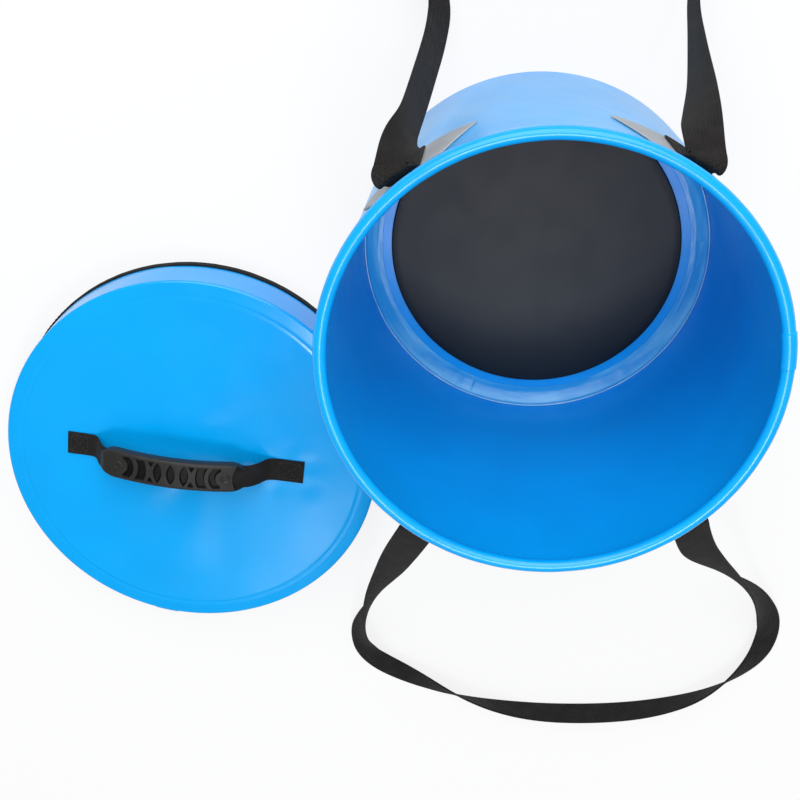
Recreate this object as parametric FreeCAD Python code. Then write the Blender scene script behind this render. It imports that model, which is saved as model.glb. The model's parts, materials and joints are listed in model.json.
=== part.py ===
import FreeCAD, Part
import math
import os

os.makedirs("parts", exist_ok=True)

# Collapsible fishing bucket: welded coated sheet, a hooped rim, two webbing carry straps and a
# lift-off lid that lies on the floor beside it. Millimetres, Z up, origin under the base's centre.

# Sheet and clearances
SHEET = 1.2                 # coated sheet of the wall, base, hem, lid top and lid skirt
MOVING_GAP = 0.3            # between pieces that move apart
WELD_GAP = 0.1              # between welded curved faces

# Bucket
BUCKET_HEIGHT = 250.0       # floor to the top of the rim
RIM_OUTER_RADIUS = 150.0
BASE_OUTER_RADIUS = 137.0
WALL_LAP_WIDTH = 22.0       # the sheet's two ends overlap here
WALL_LAP_AZIMUTH = 2.0      # degrees from +X
PAD_MARGIN = 7.2            # bare base between the pad and the seam tape
PAD_THICKNESS = 3.0
PAD_CHAMFER = 1.0
BAND_WIDTH = 14.0           # seam tape in the corner of wall and base
BAND_RISE = 4.5
BAND_FOOT = 4.0
BAND_LEG = 3.0
BAND_THICKNESS = 0.9

# Rim
HOOP_RADIUS = 3.0           # bent plastic tube inside the hem
HOOP_BORE_RADIUS = 2.0
HOOP_JOINT_GAP = 1.5
HEM_SIDES = 12              # facets round the hem, the hoop and the hoop's bore
HOOP_SIDES = 8
BORE_SIDES = 6
HOOP_CLEARANCE = 0.15
JOINER_LENGTH = 44.0        # plug that joins the hoop's two ends
JOINER_CLEARANCE = 0.1
HEM_TAIL = 10.0             # flap of the hem down the outside of the wall
HEM_LAP_LENGTH = 24.0
HEM_LAP_PROUD = 0.6

# Carry straps and what holds them
STRAP_WIDTH = 25.0
STRAP_THICKNESS = 1.6
STRAP_SPREAD = 36.0         # degrees from the front or back to each strap end
PATCH_BOTTOM_WIDTH = 96.0   # reinforcing patch, wide at the bottom with pointed corners
PATCH_TOP_WIDTH = 50.0
PATCH_HEIGHT = 58.0
PATCH_THICKNESS = 1.0
PATCH_BELOW_HEM = 2.0
TAB_LENGTH = 46.0           # webbing sewn flat on the patch
TAB_BEND_RADIUS = 9.0       # webbing turns outwards above its stitches
TAB_END = 10.0              # and here its width turns to lie along X

# Lid
LID_AZIMUTH = -151.4        # degrees from +X, where the lid lies
LID_APART = 23.0            # floor between the rim and the lid
LID_YAW = -10.0             # degrees, direction of the lid's handle
LID_HEIGHT = 46.0           # floor to the lid's top face
RIM_TO_SKIRT = 2.8          # room between the rim and the skirt when the lid is on
FLANGE_WIDTH = 14.0         # skirt's turned-in edge, under the lid's top
CORE_THICKNESS = 3.0
CORE_GAP = 0.5
LINER_MARGIN = 9.0
TOP_CHAMFER = 0.7
CREASE_WIDTH = 3.2          # weld crease round the lid's top
CREASE_DEPTH = 0.5
BINDING_HEIGHT = 8.0        # black tape folded round the skirt's lower edge
BINDING_THICKNESS = 1.0
SKIRT_LAP_WIDTH = 20.0
SKIRT_LAP_AZIMUTH = -95.0

# Lid handle, placed along its own length from the lid's centre and up from the lid's top
HANDLE_WIDTH = 20.0
HANDLE_THICKNESS = 1.6
LEFT_FLAT = 20.0            # webbing sewn flat on the lid
RIGHT_FLAT = 26.0
FOOT_SPAN = 6.5             # the webbing rises over this length beside each sewn end
PIVOT_HEIGHT = 9.0          # the webbing bends over sideways about this line
LEFT_REACH = 6.5            # from the grip's ends to the feet of the webbing
RIGHT_REACH = 12.0
GRIP_CENTRE = -10.0
GRIP_LENGTH = 118.0
GRIP_WIDTH = 25.0
GRIP_THICKNESS = 9.0
GRIP_TOP_HEIGHT = 35.0      # at the middle of the arch
GRIP_SAGITTA = 10.0
GRIP_END_WIDTH = 15.0
GRIP_END_TAPER = 9.0
CHANNEL_HEIGHT = 2.6
CHANNEL_WIDTH = 21.0
MOUTH_LENGTH = 8.0          # open underneath at the left end and on top at the right end
RIVET_OFFSET = 42.5
RIVET_RADIUS = 2.2
RIVET_HEAD_RADIUS = 4.0
RIVET_HEAD_HEIGHT = 0.8
RIVET_BORE_RADIUS = 1.1
RIVET_CLEARANCE = 0.1
RIVET_SIDES = 16
WINDOW_WIDTH = 18.0         # windows in the grip's top face
INNER_CRESCENT = (8.6, 12.2)
OUTER_CRESCENT = (17.6, 22.6)
LENS_OFFSET = 10.5
LENS_WIDTH = 5.4
NOTCH_OFFSET = 16.2
NOTCH_SIZE = 4.6

# Route of each carry strap from its left end to its right end, seen from outside: x, y, z and the turn
# of the webbing about the route, where 180 lies flat against the wall and 90 stands on its edge.
FRONT_ROUTE = [
    (-101.0, -157.0, 222.0, 180.0),
    (-109.0, -184.0, 180.0, 178.0),
    (-122.0, -222.0, 128.0, 162.0),
    (-137.0, -262.0, 78.0, 136.0),
    (-154.0, -302.0, 37.0, 106.0),
    (-165.0, -342.0, 16.5, 66.0),
    (-160.0, -380.0, 9.0, 30.0),
    (-121.0, -405.0, 9.0, 34.0),
    (-70.0, -431.0, 12.8, 72.0),
    (-14.0, -445.0, 13.2, 96.0),
    (46.0, -448.0, 13.2, 97.0),
    (102.0, -443.0, 13.2, 93.0),
    (152.0, -427.0, 12.9, 76.0),
    (192.0, -395.0, 11.0, 46.0),
    (204.0, -356.0, 12.6, 56.0),
    (190.0, -322.0, 21.0, 84.0),
    (165.0, -285.0, 47.0, 120.0),
    (142.0, -246.0, 92.0, 144.0),
    (123.0, -208.0, 144.0, 166.0),
    (108.0, -177.0, 190.0, 180.0),
    (99.5, -155.0, 222.0, 180.0),
]
REAR_ROUTE = [
    (-97.0, -153.0, 220.0, 180.0),
    (-98.0, -160.0, 180.0, 178.0),
    (-101.0, -169.0, 120.0, 166.0),
    (-106.0, -181.0, 64.0, 142.0),
    (-111.0, -199.0, 27.0, 124.0),
    (-123.0, -228.0, 13.4, 112.0),
    (-152.0, -257.0, 13.0, 104.0),
    (-178.0, -292.0, 13.0, 100.0),
    (-173.0, -336.0, 13.0, 100.0),
    (-137.0, -365.0, 13.0, 102.0),
    (-84.0, -374.0, 13.0, 104.0),
    (-27.0, -376.0, 13.0, 104.0),
    (31.0, -374.0, 13.0, 104.0),
    (86.0, -367.0, 13.0, 104.0),
    (132.0, -347.0, 13.0, 102.0),
    (153.0, -309.0, 13.0, 102.0),
    (141.0, -270.0, 13.0, 104.0),
    (108.0, -243.0, 13.2, 110.0),
    (78.0, -224.0, 14.5, 124.0),
    (64.0, -202.0, 30.0, 146.0),
    (66.0, -183.0, 76.0, 166.0),
    (72.0, -170.0, 130.0, 180.0),
    (82.0, -160.0, 182.0, 180.0),
    (92.5, -152.0, 220.0, 180.0),
]

# Worked out from the sizes above
HEM_RADIUS = HOOP_RADIUS + HOOP_CLEARANCE + SHEET
RIM_CENTRE_RADIUS = RIM_OUTER_RADIUS - HEM_RADIUS
RIM_CENTRE_Z = BUCKET_HEIGHT - HEM_RADIUS
WALL_TOP_Z = RIM_CENTRE_Z - HEM_RADIUS - MOVING_GAP
WALL_TOP_RADIUS = RIM_CENTRE_RADIUS + SHEET / 2
TAIL_BOTTOM_Z = RIM_CENTRE_Z - HEM_RADIUS - HEM_TAIL
BASE_INNER_RADIUS = BASE_OUTER_RADIUS - SHEET
BAND_INNER_RADIUS = BASE_INNER_RADIUS - WELD_GAP - BAND_WIDTH
PAD_RADIUS = BAND_INNER_RADIUS - PAD_MARGIN
PATCH_CENTRE_Z = TAIL_BOTTOM_Z - PATCH_BELOW_HEM - PATCH_HEIGHT / 2
TAB_BOTTOM_Z = PATCH_CENTRE_Z - TAB_LENGTH / 2
TAB_TOP_Z = PATCH_CENTRE_Z + TAB_LENGTH / 2
SKIRT_INNER_RADIUS = RIM_OUTER_RADIUS + RIM_TO_SKIRT
SKIRT_RADIUS = SKIRT_INNER_RADIUS + SHEET
LID_OUTER_RADIUS = SKIRT_RADIUS + WELD_GAP + BINDING_THICKNESS
LID_DISTANCE = RIM_OUTER_RADIUS + LID_APART + LID_OUTER_RADIUS
LID_TOP_UNDERSIDE = LID_HEIGHT - SHEET
FLANGE_INNER_RADIUS = SKIRT_RADIUS - FLANGE_WIDTH
FLANGE_UNDERSIDE = LID_TOP_UNDERSIDE - SHEET
CORE_RADIUS = FLANGE_INNER_RADIUS - CORE_GAP
CORE_UNDERSIDE = LID_TOP_UNDERSIDE - CORE_THICKNESS
GRIP_ARC_RADIUS = ((GRIP_LENGTH / 2) ** 2 + GRIP_SAGITTA ** 2) / (2 * GRIP_SAGITTA)
GRIP_MID_RADIUS = GRIP_ARC_RADIUS - GRIP_THICKNESS / 2
GRIP_ARC_Z = LID_HEIGHT + GRIP_TOP_HEIGHT - GRIP_ARC_RADIUS
GRIP_LEFT_END = GRIP_CENTRE - GRIP_LENGTH / 2
GRIP_RIGHT_END = GRIP_CENTRE + GRIP_LENGTH / 2
LEFT_FOOT = GRIP_LEFT_END - LEFT_REACH
RIGHT_FOOT = GRIP_RIGHT_END + RIGHT_REACH
FOOT_STEP = HANDLE_THICKNESS + MOVING_GAP

ORIGIN = FreeCAD.Vector(0, 0, 0)
UP = FreeCAD.Vector(0, 0, 1)
ACROSS = FreeCAD.Vector(1, 0, 0)


def save(name, shape):
    """Write one piece to its own file and say how large it is."""
    shape.exportStep("parts/" + name + ".step")
    print(name, len(shape.Solids), "solid", round(shape.Volume, 1), "mm3", shape.isValid())


def revolve(points, sweep=360.0):
    """Turn a closed outline of (radius, height) points about the Z axis."""
    corners = [FreeCAD.Vector(radius, 0, height) for radius, height in points]
    outline = Part.makePolygon(corners + corners[:1])
    return Part.Face(outline).revolve(ORIGIN, UP, sweep)


def ring_section(section_radius, sides):
    """A many-sided section of the rim's roll, which stands in the XZ plane."""
    corners = []
    for side in range(sides):
        angle = 2 * math.pi * (side + 0.5) / sides
        radius = RIM_CENTRE_RADIUS + section_radius * math.cos(angle)
        corners.append(FreeCAD.Vector(radius, 0, RIM_CENTRE_Z + section_radius * math.sin(angle)))
    return Part.Face(Part.makePolygon(corners + corners[:1]))


def post(radius, low, high):
    """An upright many-sided post, or the hole for one, on the Z axis."""
    corners = []
    for side in range(RIVET_SIDES):
        angle = 2 * math.pi * side / RIVET_SIDES
        corners.append(FreeCAD.Vector(radius * math.cos(angle), radius * math.sin(angle), low))
    return Part.Face(Part.makePolygon(corners + corners[:1])).extrude(UP * (high - low))


def turn(shape, degrees):
    """A copy of a shape, turned about the Z axis."""
    copy = shape.copy()
    copy.rotate(ORIGIN, UP, degrees)
    return copy


def wall_radius(height):
    """Outer radius of the wall's cone at a height."""
    return BASE_OUTER_RADIUS + (WALL_TOP_RADIUS - BASE_OUTER_RADIUS) * height / WALL_TOP_Z


def ribbon(stations, width, thickness):
    """A flat strip ruled through (centre, direction, width direction) stations."""
    sections = []
    for centre, along, across in stations:
        side = across * (width / 2)
        face = along.cross(across).normalize() * (thickness / 2)
        corners = [centre + side + face, centre - side + face, centre - side - face, centre + side - face]
        sections.append(Part.makePolygon(corners + corners[:1]))
    return Part.makeLoft(sections, True, True)


def make_bucket_wall():
    """Cone of one sheet, whose ends overlap in a strip up the outside."""
    shell = revolve([
        (BASE_INNER_RADIUS, 0),
        (BASE_OUTER_RADIUS, 0),
        (WALL_TOP_RADIUS, WALL_TOP_Z),
        (WALL_TOP_RADIUS - SHEET, WALL_TOP_Z),
    ])
    lap_sweep = math.degrees(WALL_LAP_WIDTH / BASE_OUTER_RADIUS)
    lap_top = TAIL_BOTTOM_Z - PATCH_BELOW_HEM
    lap = revolve([
        (wall_radius(0) - SHEET / 2, 0),
        (wall_radius(0) + SHEET, 0),
        (wall_radius(lap_top) + SHEET, lap_top),
        (wall_radius(lap_top) - SHEET / 2, lap_top),
    ], lap_sweep)
    return shell.fuse(turn(lap, WALL_LAP_AZIMUTH - lap_sweep / 2)).removeSplitter()


def make_base_sheet():
    """Round bottom of the bucket, welded inside the wall's lower edge."""
    return Part.makeCylinder(BASE_INNER_RADIUS - WELD_GAP, SHEET)


def make_corner_seam_band():
    """Tape that lies on the base, slopes up and ends against the wall."""
    inner = BAND_INNER_RADIUS
    low = SHEET + BAND_RISE
    high = low + BAND_LEG
    at_low = wall_radius(low) - SHEET - WELD_GAP
    at_high = wall_radius(high) - SHEET - WELD_GAP
    return revolve([
        (inner, SHEET),
        (inner + BAND_FOOT, SHEET),
        (at_low, low),
        (at_high, high),
        (at_high - BAND_THICKNESS, high),
        (at_low - BAND_THICKNESS, low + BAND_THICKNESS / 2),
        (inner + BAND_FOOT, SHEET + BAND_THICKNESS),
        (inner, SHEET + BAND_THICKNESS),
    ])


def make_base_pad():
    """Dark round pad on the base sheet."""
    top = SHEET + PAD_THICKNESS
    return revolve([
        (0, SHEET),
        (PAD_RADIUS, SHEET),
        (PAD_RADIUS, top - PAD_CHAMFER),
        (PAD_RADIUS - PAD_CHAMFER, top),
        (0, top),
    ])


def make_rim_hem():
    """Sheet folded round the hoop, with its flap outside the wall and a lapped end."""
    top_inner = WALL_TOP_RADIUS + MOVING_GAP
    bottom_inner = wall_radius(TAIL_BOTTOM_Z) + MOVING_GAP
    tail = Part.makePolygon([
        FreeCAD.Vector(bottom_inner, 0, TAIL_BOTTOM_Z),
        FreeCAD.Vector(bottom_inner + SHEET, 0, TAIL_BOTTOM_Z),
        FreeCAD.Vector(top_inner + SHEET, 0, RIM_CENTRE_Z),
        FreeCAD.Vector(top_inner, 0, RIM_CENTRE_Z),
        FreeCAD.Vector(bottom_inner, 0, TAIL_BOTTOM_Z),
    ])
    roll = ring_section(HEM_RADIUS, HEM_SIDES)
    outside = roll.fuse(Part.Face(tail)).removeSplitter().Faces[0].revolve(ORIGIN, UP, 360)
    lap_sweep = math.degrees(HEM_LAP_LENGTH / RIM_CENTRE_RADIUS)
    lap_roll = ring_section(HEM_RADIUS + HEM_LAP_PROUD, HEM_SIDES)
    above_tail = Part.makeCylinder(RIM_OUTER_RADIUS * 2, BUCKET_HEIGHT, FreeCAD.Vector(0, 0, RIM_CENTRE_Z))
    lap = lap_roll.revolve(ORIGIN, UP, lap_sweep).common(above_tail)
    inside = ring_section(HEM_RADIUS - SHEET, HOOP_SIDES).revolve(ORIGIN, UP, 360)
    return outside.fuse(turn(lap, WALL_LAP_AZIMUTH - lap_sweep / 2)).cut(inside).removeSplitter()


def make_rim_hoop():
    """Plastic tube bent into a hoop, with a narrow gap where its ends meet."""
    gap_sweep = math.degrees(HOOP_JOINT_GAP / RIM_CENTRE_RADIUS)
    sweep = 360.0 - gap_sweep
    tube = ring_section(HOOP_RADIUS, HOOP_SIDES).revolve(ORIGIN, UP, sweep)
    bore = ring_section(HOOP_BORE_RADIUS, BORE_SIDES).revolve(ORIGIN, UP, sweep)
    return turn(tube.cut(bore), WALL_LAP_AZIMUTH + gap_sweep / 2)


def make_hoop_joiner():
    """Curved plug inside the hoop's two ends."""
    sweep = math.degrees(JOINER_LENGTH / RIM_CENTRE_RADIUS)
    section = ring_section(HOOP_BORE_RADIUS - JOINER_CLEARANCE, BORE_SIDES)
    return turn(section.revolve(ORIGIN, UP, sweep), WALL_LAP_AZIMUTH - sweep / 2)


def make_strap_patch(azimuth):
    """Tapered patch that follows the wall, centred on a strap end."""
    bottom = PATCH_CENTRE_Z - PATCH_HEIGHT / 2
    top = PATCH_CENTRE_Z + PATCH_HEIGHT / 2
    skin = revolve([
        (wall_radius(bottom) + MOVING_GAP, bottom),
        (wall_radius(bottom) + MOVING_GAP + PATCH_THICKNESS, bottom),
        (wall_radius(top) + MOVING_GAP + PATCH_THICKNESS, top),
        (wall_radius(top) + MOVING_GAP, top),
    ])
    corners = [
        FreeCAD.Vector(0, -PATCH_BOTTOM_WIDTH / 2, bottom),
        FreeCAD.Vector(0, PATCH_BOTTOM_WIDTH / 2, bottom),
        FreeCAD.Vector(0, PATCH_TOP_WIDTH / 2, top),
        FreeCAD.Vector(0, -PATCH_TOP_WIDTH / 2, top),
    ]
    outline = Part.Face(Part.makePolygon(corners + corners[:1]))
    return turn(skin.common(outline.extrude(ACROSS * (2 * RIM_OUTER_RADIUS))), azimuth)


def tab_face_radius(height):
    """Radius of the middle of the webbing that is sewn on a patch."""
    return wall_radius(height) + MOVING_GAP + PATCH_THICKNESS + WELD_GAP + STRAP_THICKNESS / 2


def strap_root(azimuth):
    """Where the free webbing starts: past the tab's bend, on the line that it swings about."""
    reach = tab_face_radius(TAB_TOP_Z) + TAB_BEND_RADIUS + TAB_END
    angle = math.radians(azimuth)
    return FreeCAD.Vector(reach * math.cos(angle), reach * math.sin(angle), TAB_TOP_Z + TAB_BEND_RADIUS)


def make_strap_tab(azimuth):
    """Sewn end of a strap: flat up the patch, bent outwards, then turned so that its width lies along X."""
    angle = math.radians(azimuth)
    outwards = FreeCAD.Vector(math.cos(angle), math.sin(angle), 0)
    tangent = FreeCAD.Vector(-math.sin(angle), math.cos(angle), 0)
    bend_start = tab_face_radius(TAB_TOP_Z)
    stations = [(outwards * tab_face_radius(TAB_BOTTOM_Z) + UP * TAB_BOTTOM_Z, UP, tangent)]
    for degrees in (0, 30, 60):
        phi = math.radians(degrees)
        radius = bend_start + TAB_BEND_RADIUS * (1 - math.cos(phi))
        height = TAB_TOP_Z + TAB_BEND_RADIUS * math.sin(phi)
        along = UP * math.cos(phi) + outwards * math.sin(phi)
        stations.append((outwards * radius + UP * height, along, tangent))
    bend_end = outwards * (bend_start + TAB_BEND_RADIUS) + UP * (TAB_TOP_Z + TAB_BEND_RADIUS)
    across_end = ACROSS if tangent.x > 0 else ACROSS * -1
    square_out = FreeCAD.Vector(0, outwards.y, 0).normalize()
    stations.append((bend_end, (outwards + square_out).normalize(), (tangent + across_end).normalize()))
    end = strap_root(azimuth) - square_out * (MOVING_GAP + STRAP_THICKNESS / 2)
    stations.append((end, square_out, across_end))
    return ribbon(stations, STRAP_WIDTH, STRAP_THICKNESS)


def route_stations(route):
    """Stations on the smooth line that touches the middle of each run of a route."""
    points = [FreeCAD.Vector(x, y, z) for x, y, z, lean in route]
    leans = [lean for x, y, z, lean in route]
    centres = [points[0]]
    turns = [leans[0]]
    for i in range(1, len(route) - 1):
        centres.append((points[i - 1] + points[i] * 6 + points[i + 1]) * 0.125)
        turns.append(leans[i])
        if i < len(route) - 2:
            centres.append((points[i] + points[i + 1]) * 0.5)
            turns.append((leans[i] + leans[i + 1]) / 2)
    centres.append(points[-1])
    turns.append(leans[-1])
    stations = []
    last = len(centres) - 1
    for i, centre in enumerate(centres):
        along = centres[min(i + 1, last)] - centres[max(i - 1, 0)]
        if i in (0, last):
            along.x = 0
        along.normalize()
        level = UP.cross(along).normalize()
        upward = along.cross(level)
        lean = math.radians(turns[i])
        stations.append((centre, along, level * math.cos(lean) + upward * math.sin(lean)))
    return stations


def make_carry_strap(name, route):
    """Free webbing of one strap, from its left root to its right root on the -Y side."""
    left = strap_root(-90.0 - STRAP_SPREAD)
    right = strap_root(-90.0 + STRAP_SPREAD)
    ends = ((left.x, left.y, left.z, 180.0), (right.x, right.y, right.z, 180.0))
    stations = route_stations([ends[0]] + route + [ends[1]])
    length = sum((stations[i + 1][0] - stations[i][0]).Length for i in range(len(stations) - 1))
    solid = ribbon(stations, STRAP_WIDTH, STRAP_THICKNESS)
    section = STRAP_WIDTH * STRAP_THICKNESS
    print(name, "length", round(length, 1), "mm, volume over section times length",
          round(solid.Volume / (section * length), 3))
    return solid


def make_lid_top():
    """Round sheet with a weld crease near its edge."""
    crease_outer = FLANGE_INNER_RADIUS + CREASE_WIDTH
    return revolve([
        (0, LID_TOP_UNDERSIDE),
        (SKIRT_RADIUS, LID_TOP_UNDERSIDE),
        (SKIRT_RADIUS, LID_HEIGHT - TOP_CHAMFER),
        (SKIRT_RADIUS - TOP_CHAMFER, LID_HEIGHT),
        (crease_outer, LID_HEIGHT),
        (FLANGE_INNER_RADIUS + CREASE_WIDTH / 2, LID_HEIGHT - CREASE_DEPTH),
        (FLANGE_INNER_RADIUS, LID_HEIGHT),
        (0, LID_HEIGHT),
    ])


def make_lid_core():
    """Stiff board between the lid's top and its liner."""
    return Part.makeCylinder(CORE_RADIUS, CORE_THICKNESS, FreeCAD.Vector(0, 0, CORE_UNDERSIDE))


def make_lid_skirt():
    """Ring of sheet, turned in under the lid's top, with its ends lapped."""
    ring = revolve([
        (SKIRT_INNER_RADIUS, BINDING_THICKNESS),
        (SKIRT_RADIUS, BINDING_THICKNESS),
        (SKIRT_RADIUS, LID_TOP_UNDERSIDE),
        (FLANGE_INNER_RADIUS, LID_TOP_UNDERSIDE),
        (FLANGE_INNER_RADIUS, FLANGE_UNDERSIDE),
        (SKIRT_INNER_RADIUS, FLANGE_UNDERSIDE),
    ])
    lap_sweep = math.degrees(SKIRT_LAP_WIDTH / SKIRT_RADIUS)
    lap_bottom = BINDING_HEIGHT + WELD_GAP
    lap = revolve([
        (SKIRT_RADIUS - SHEET / 2, lap_bottom),
        (SKIRT_RADIUS + SHEET, lap_bottom),
        (SKIRT_RADIUS + SHEET, LID_TOP_UNDERSIDE),
        (SKIRT_RADIUS - SHEET / 2, LID_TOP_UNDERSIDE),
    ], lap_sweep)
    return ring.fuse(turn(lap, SKIRT_LAP_AZIMUTH - lap_sweep / 2)).removeSplitter()


def make_lid_liner():
    """Sheet under the core, stepped up where it is welded to the skirt's flange."""
    margin_radius = FLANGE_INNER_RADIUS + LINER_MARGIN
    step_inner = CORE_RADIUS + CORE_GAP / 2
    return revolve([
        (0, CORE_UNDERSIDE - SHEET),
        (step_inner + SHEET, CORE_UNDERSIDE - SHEET),
        (step_inner + SHEET, FLANGE_UNDERSIDE - SHEET),
        (margin_radius, FLANGE_UNDERSIDE - SHEET),
        (margin_radius, FLANGE_UNDERSIDE),
        (step_inner, FLANGE_UNDERSIDE),
        (step_inner, CORE_UNDERSIDE),
        (0, CORE_UNDERSIDE),
    ])


def make_lid_binding():
    """Tape folded up both sides of the skirt's lower edge."""
    outer_face = SKIRT_RADIUS + WELD_GAP
    inner_face = SKIRT_INNER_RADIUS - WELD_GAP
    return revolve([
        (inner_face - BINDING_THICKNESS, 0),
        (outer_face + BINDING_THICKNESS, 0),
        (outer_face + BINDING_THICKNESS, BINDING_HEIGHT),
        (outer_face, BINDING_HEIGHT),
        (outer_face, BINDING_THICKNESS),
        (inner_face, BINDING_THICKNESS),
        (inner_face, BINDING_HEIGHT),
        (inner_face - BINDING_THICKNESS, BINDING_HEIGHT),
    ])


def handle_strip(points):
    """Handle webbing through (length, height) points, heights from the lid's top."""
    centres = [FreeCAD.Vector(length, 0, LID_HEIGHT + height) for length, height in points]
    last = len(centres) - 1
    stations = []
    for i, centre in enumerate(centres):
        along = (centres[min(i + 1, last)] - centres[max(i - 1, 0)]).normalize()
        stations.append((centre, along, FreeCAD.Vector(0, 1, 0)))
    return ribbon(stations, HANDLE_WIDTH, HANDLE_THICKNESS)


def make_lid_handle_tab(foot, flat_length, inwards):
    """Webbing sewn flat on the lid, which rises to the line that the handle swings about."""
    flat = HANDLE_THICKNESS / 2
    bend = foot - inwards * FOOT_SPAN
    points = [
        (bend - inwards * flat_length, flat),
        (bend - inwards * FOOT_SPAN / 2, flat),
        (bend + inwards * FOOT_SPAN / 4, flat + PIVOT_HEIGHT * 0.08),
        (bend + inwards * FOOT_SPAN * 0.7, PIVOT_HEIGHT * 0.42),
        (foot, PIVOT_HEIGHT),
    ]
    return handle_strip(points)


def grip_height(length):
    """Height of the middle of the grip's arch above the lid's top."""
    from_centre = length - GRIP_CENTRE
    return GRIP_ARC_Z - LID_HEIGHT + math.sqrt(GRIP_MID_RADIUS ** 2 - from_centre ** 2)


def make_lid_handle_strap():
    """Webbing through the grip, in under its left end and out over its right end, with rivet holes."""
    left_end = LEFT_FOOT + FOOT_STEP
    right_end = RIGHT_FOOT - FOOT_STEP
    rise = grip_height(GRIP_LEFT_END) - PIVOT_HEIGHT
    inside = [GRIP_CENTRE + GRIP_LENGTH * step / 18 for step in range(-8, 9, 2)]
    points = [(left_end, PIVOT_HEIGHT)]
    for share, height in ((0.35, 0.48), (0.85, 0.84)):
        points.append((left_end + (GRIP_LEFT_END - left_end) * share, PIVOT_HEIGHT + rise * height))
    points += [(length, grip_height(length)) for length in inside]
    points.append((GRIP_RIGHT_END, grip_height(GRIP_RIGHT_END)))
    for share, height in ((0.4, 0.8), (0.82, 0.4)):
        points.append((GRIP_RIGHT_END + (right_end - GRIP_RIGHT_END) * share, PIVOT_HEIGHT + rise * height))
    points.append((right_end, PIVOT_HEIGHT))
    return handle_strip(points).cut(rivet_holes())


def at_rivets(shape):
    """A copy of a shape at each rivet, square to the grip's arch there."""
    copies = []
    for length in (GRIP_CENTRE - RIVET_OFFSET, GRIP_CENTRE + RIVET_OFFSET):
        copy = shape.copy()
        tilt = math.degrees(math.asin((length - GRIP_CENTRE) / GRIP_MID_RADIUS))
        copy.rotate(ORIGIN, FreeCAD.Vector(0, 1, 0), tilt)
        copy.translate(FreeCAD.Vector(length, 0, LID_HEIGHT + grip_height(length)))
        copies.append(copy)
    return Part.makeCompound(copies)


def rivet_holes():
    """Holes for the rivets' shanks, through strap and grip."""
    return at_rivets(post(RIVET_RADIUS + RIVET_CLEARANCE, -GRIP_THICKNESS, GRIP_THICKNESS))


def arch_band(low, high, width):
    """Curved slab between two distances above the grip's middle line, as wide as stated."""
    centre = FreeCAD.Vector(GRIP_CENTRE, -width / 2, GRIP_ARC_Z)
    across = FreeCAD.Vector(0, 1, 0)
    outer = Part.makeCylinder(GRIP_MID_RADIUS + high, width, centre, across)
    inner = Part.makeCylinder(GRIP_MID_RADIUS + low, width, centre, across)
    return outer.cut(inner)


def prism(outline, low, high):
    """Upright block over an outline of (length from the grip's centre, side) points."""
    corners = [FreeCAD.Vector(GRIP_CENTRE + length, side, low) for length, side in outline]
    return Part.Face(Part.makePolygon(corners + corners[:1])).extrude(UP * (high - low))


def lens_prism(offset, low, high):
    """Upright block over a pointed oval, made where two discs overlap."""
    half_height = WINDOW_WIDTH / 2
    half_width = LENS_WIDTH / 2
    radius = (half_height ** 2 + half_width ** 2) / (2 * half_width)
    discs = []
    for side in (-1, 1):
        centre = FreeCAD.Vector(GRIP_CENTRE + offset + side * (radius - half_width), 0, low)
        discs.append(Part.makeCylinder(radius, high - low, centre))
    return discs[0].common(discs[1])


def crescent_prism(end, radii, low, high):
    """Upright block over an arc round a rivet, on the side of the grip's centre."""
    boss = FreeCAD.Vector(GRIP_CENTRE + end * RIVET_OFFSET, 0, low)
    inner, outer = radii
    ring = Part.makeCylinder(outer, high - low, boss).cut(Part.makeCylinder(inner, high - low, boss))
    half = WINDOW_WIDTH / 2
    near = end * (RIVET_OFFSET - inner / 2)
    far = end * (RIVET_OFFSET - 2 * outer)
    return ring.common(prism([(near, -half), (far, -half), (far, half), (near, half)], low, high))


def grip_windows(low, high):
    """Every window of the grip's top face: lenses, crescents and the notches that leave an X."""
    windows = [lens_prism(0, low, high)]
    for end in (-1, 1):
        windows.append(lens_prism(end * LENS_OFFSET, low, high))
        windows.append(crescent_prism(end, INNER_CRESCENT, low, high))
        windows.append(crescent_prism(end, OUTER_CRESCENT, low, high))
        for side in (-1, 1):
            tip = (end * NOTCH_OFFSET, side * (WINDOW_WIDTH / 2 - NOTCH_SIZE))
            left = (end * NOTCH_OFFSET - NOTCH_SIZE / 2, side * WINDOW_WIDTH / 2)
            right = (end * NOTCH_OFFSET + NOTCH_SIZE / 2, side * WINDOW_WIDTH / 2)
            windows.append(prism([tip, left, right], low, high))
    return windows


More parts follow.
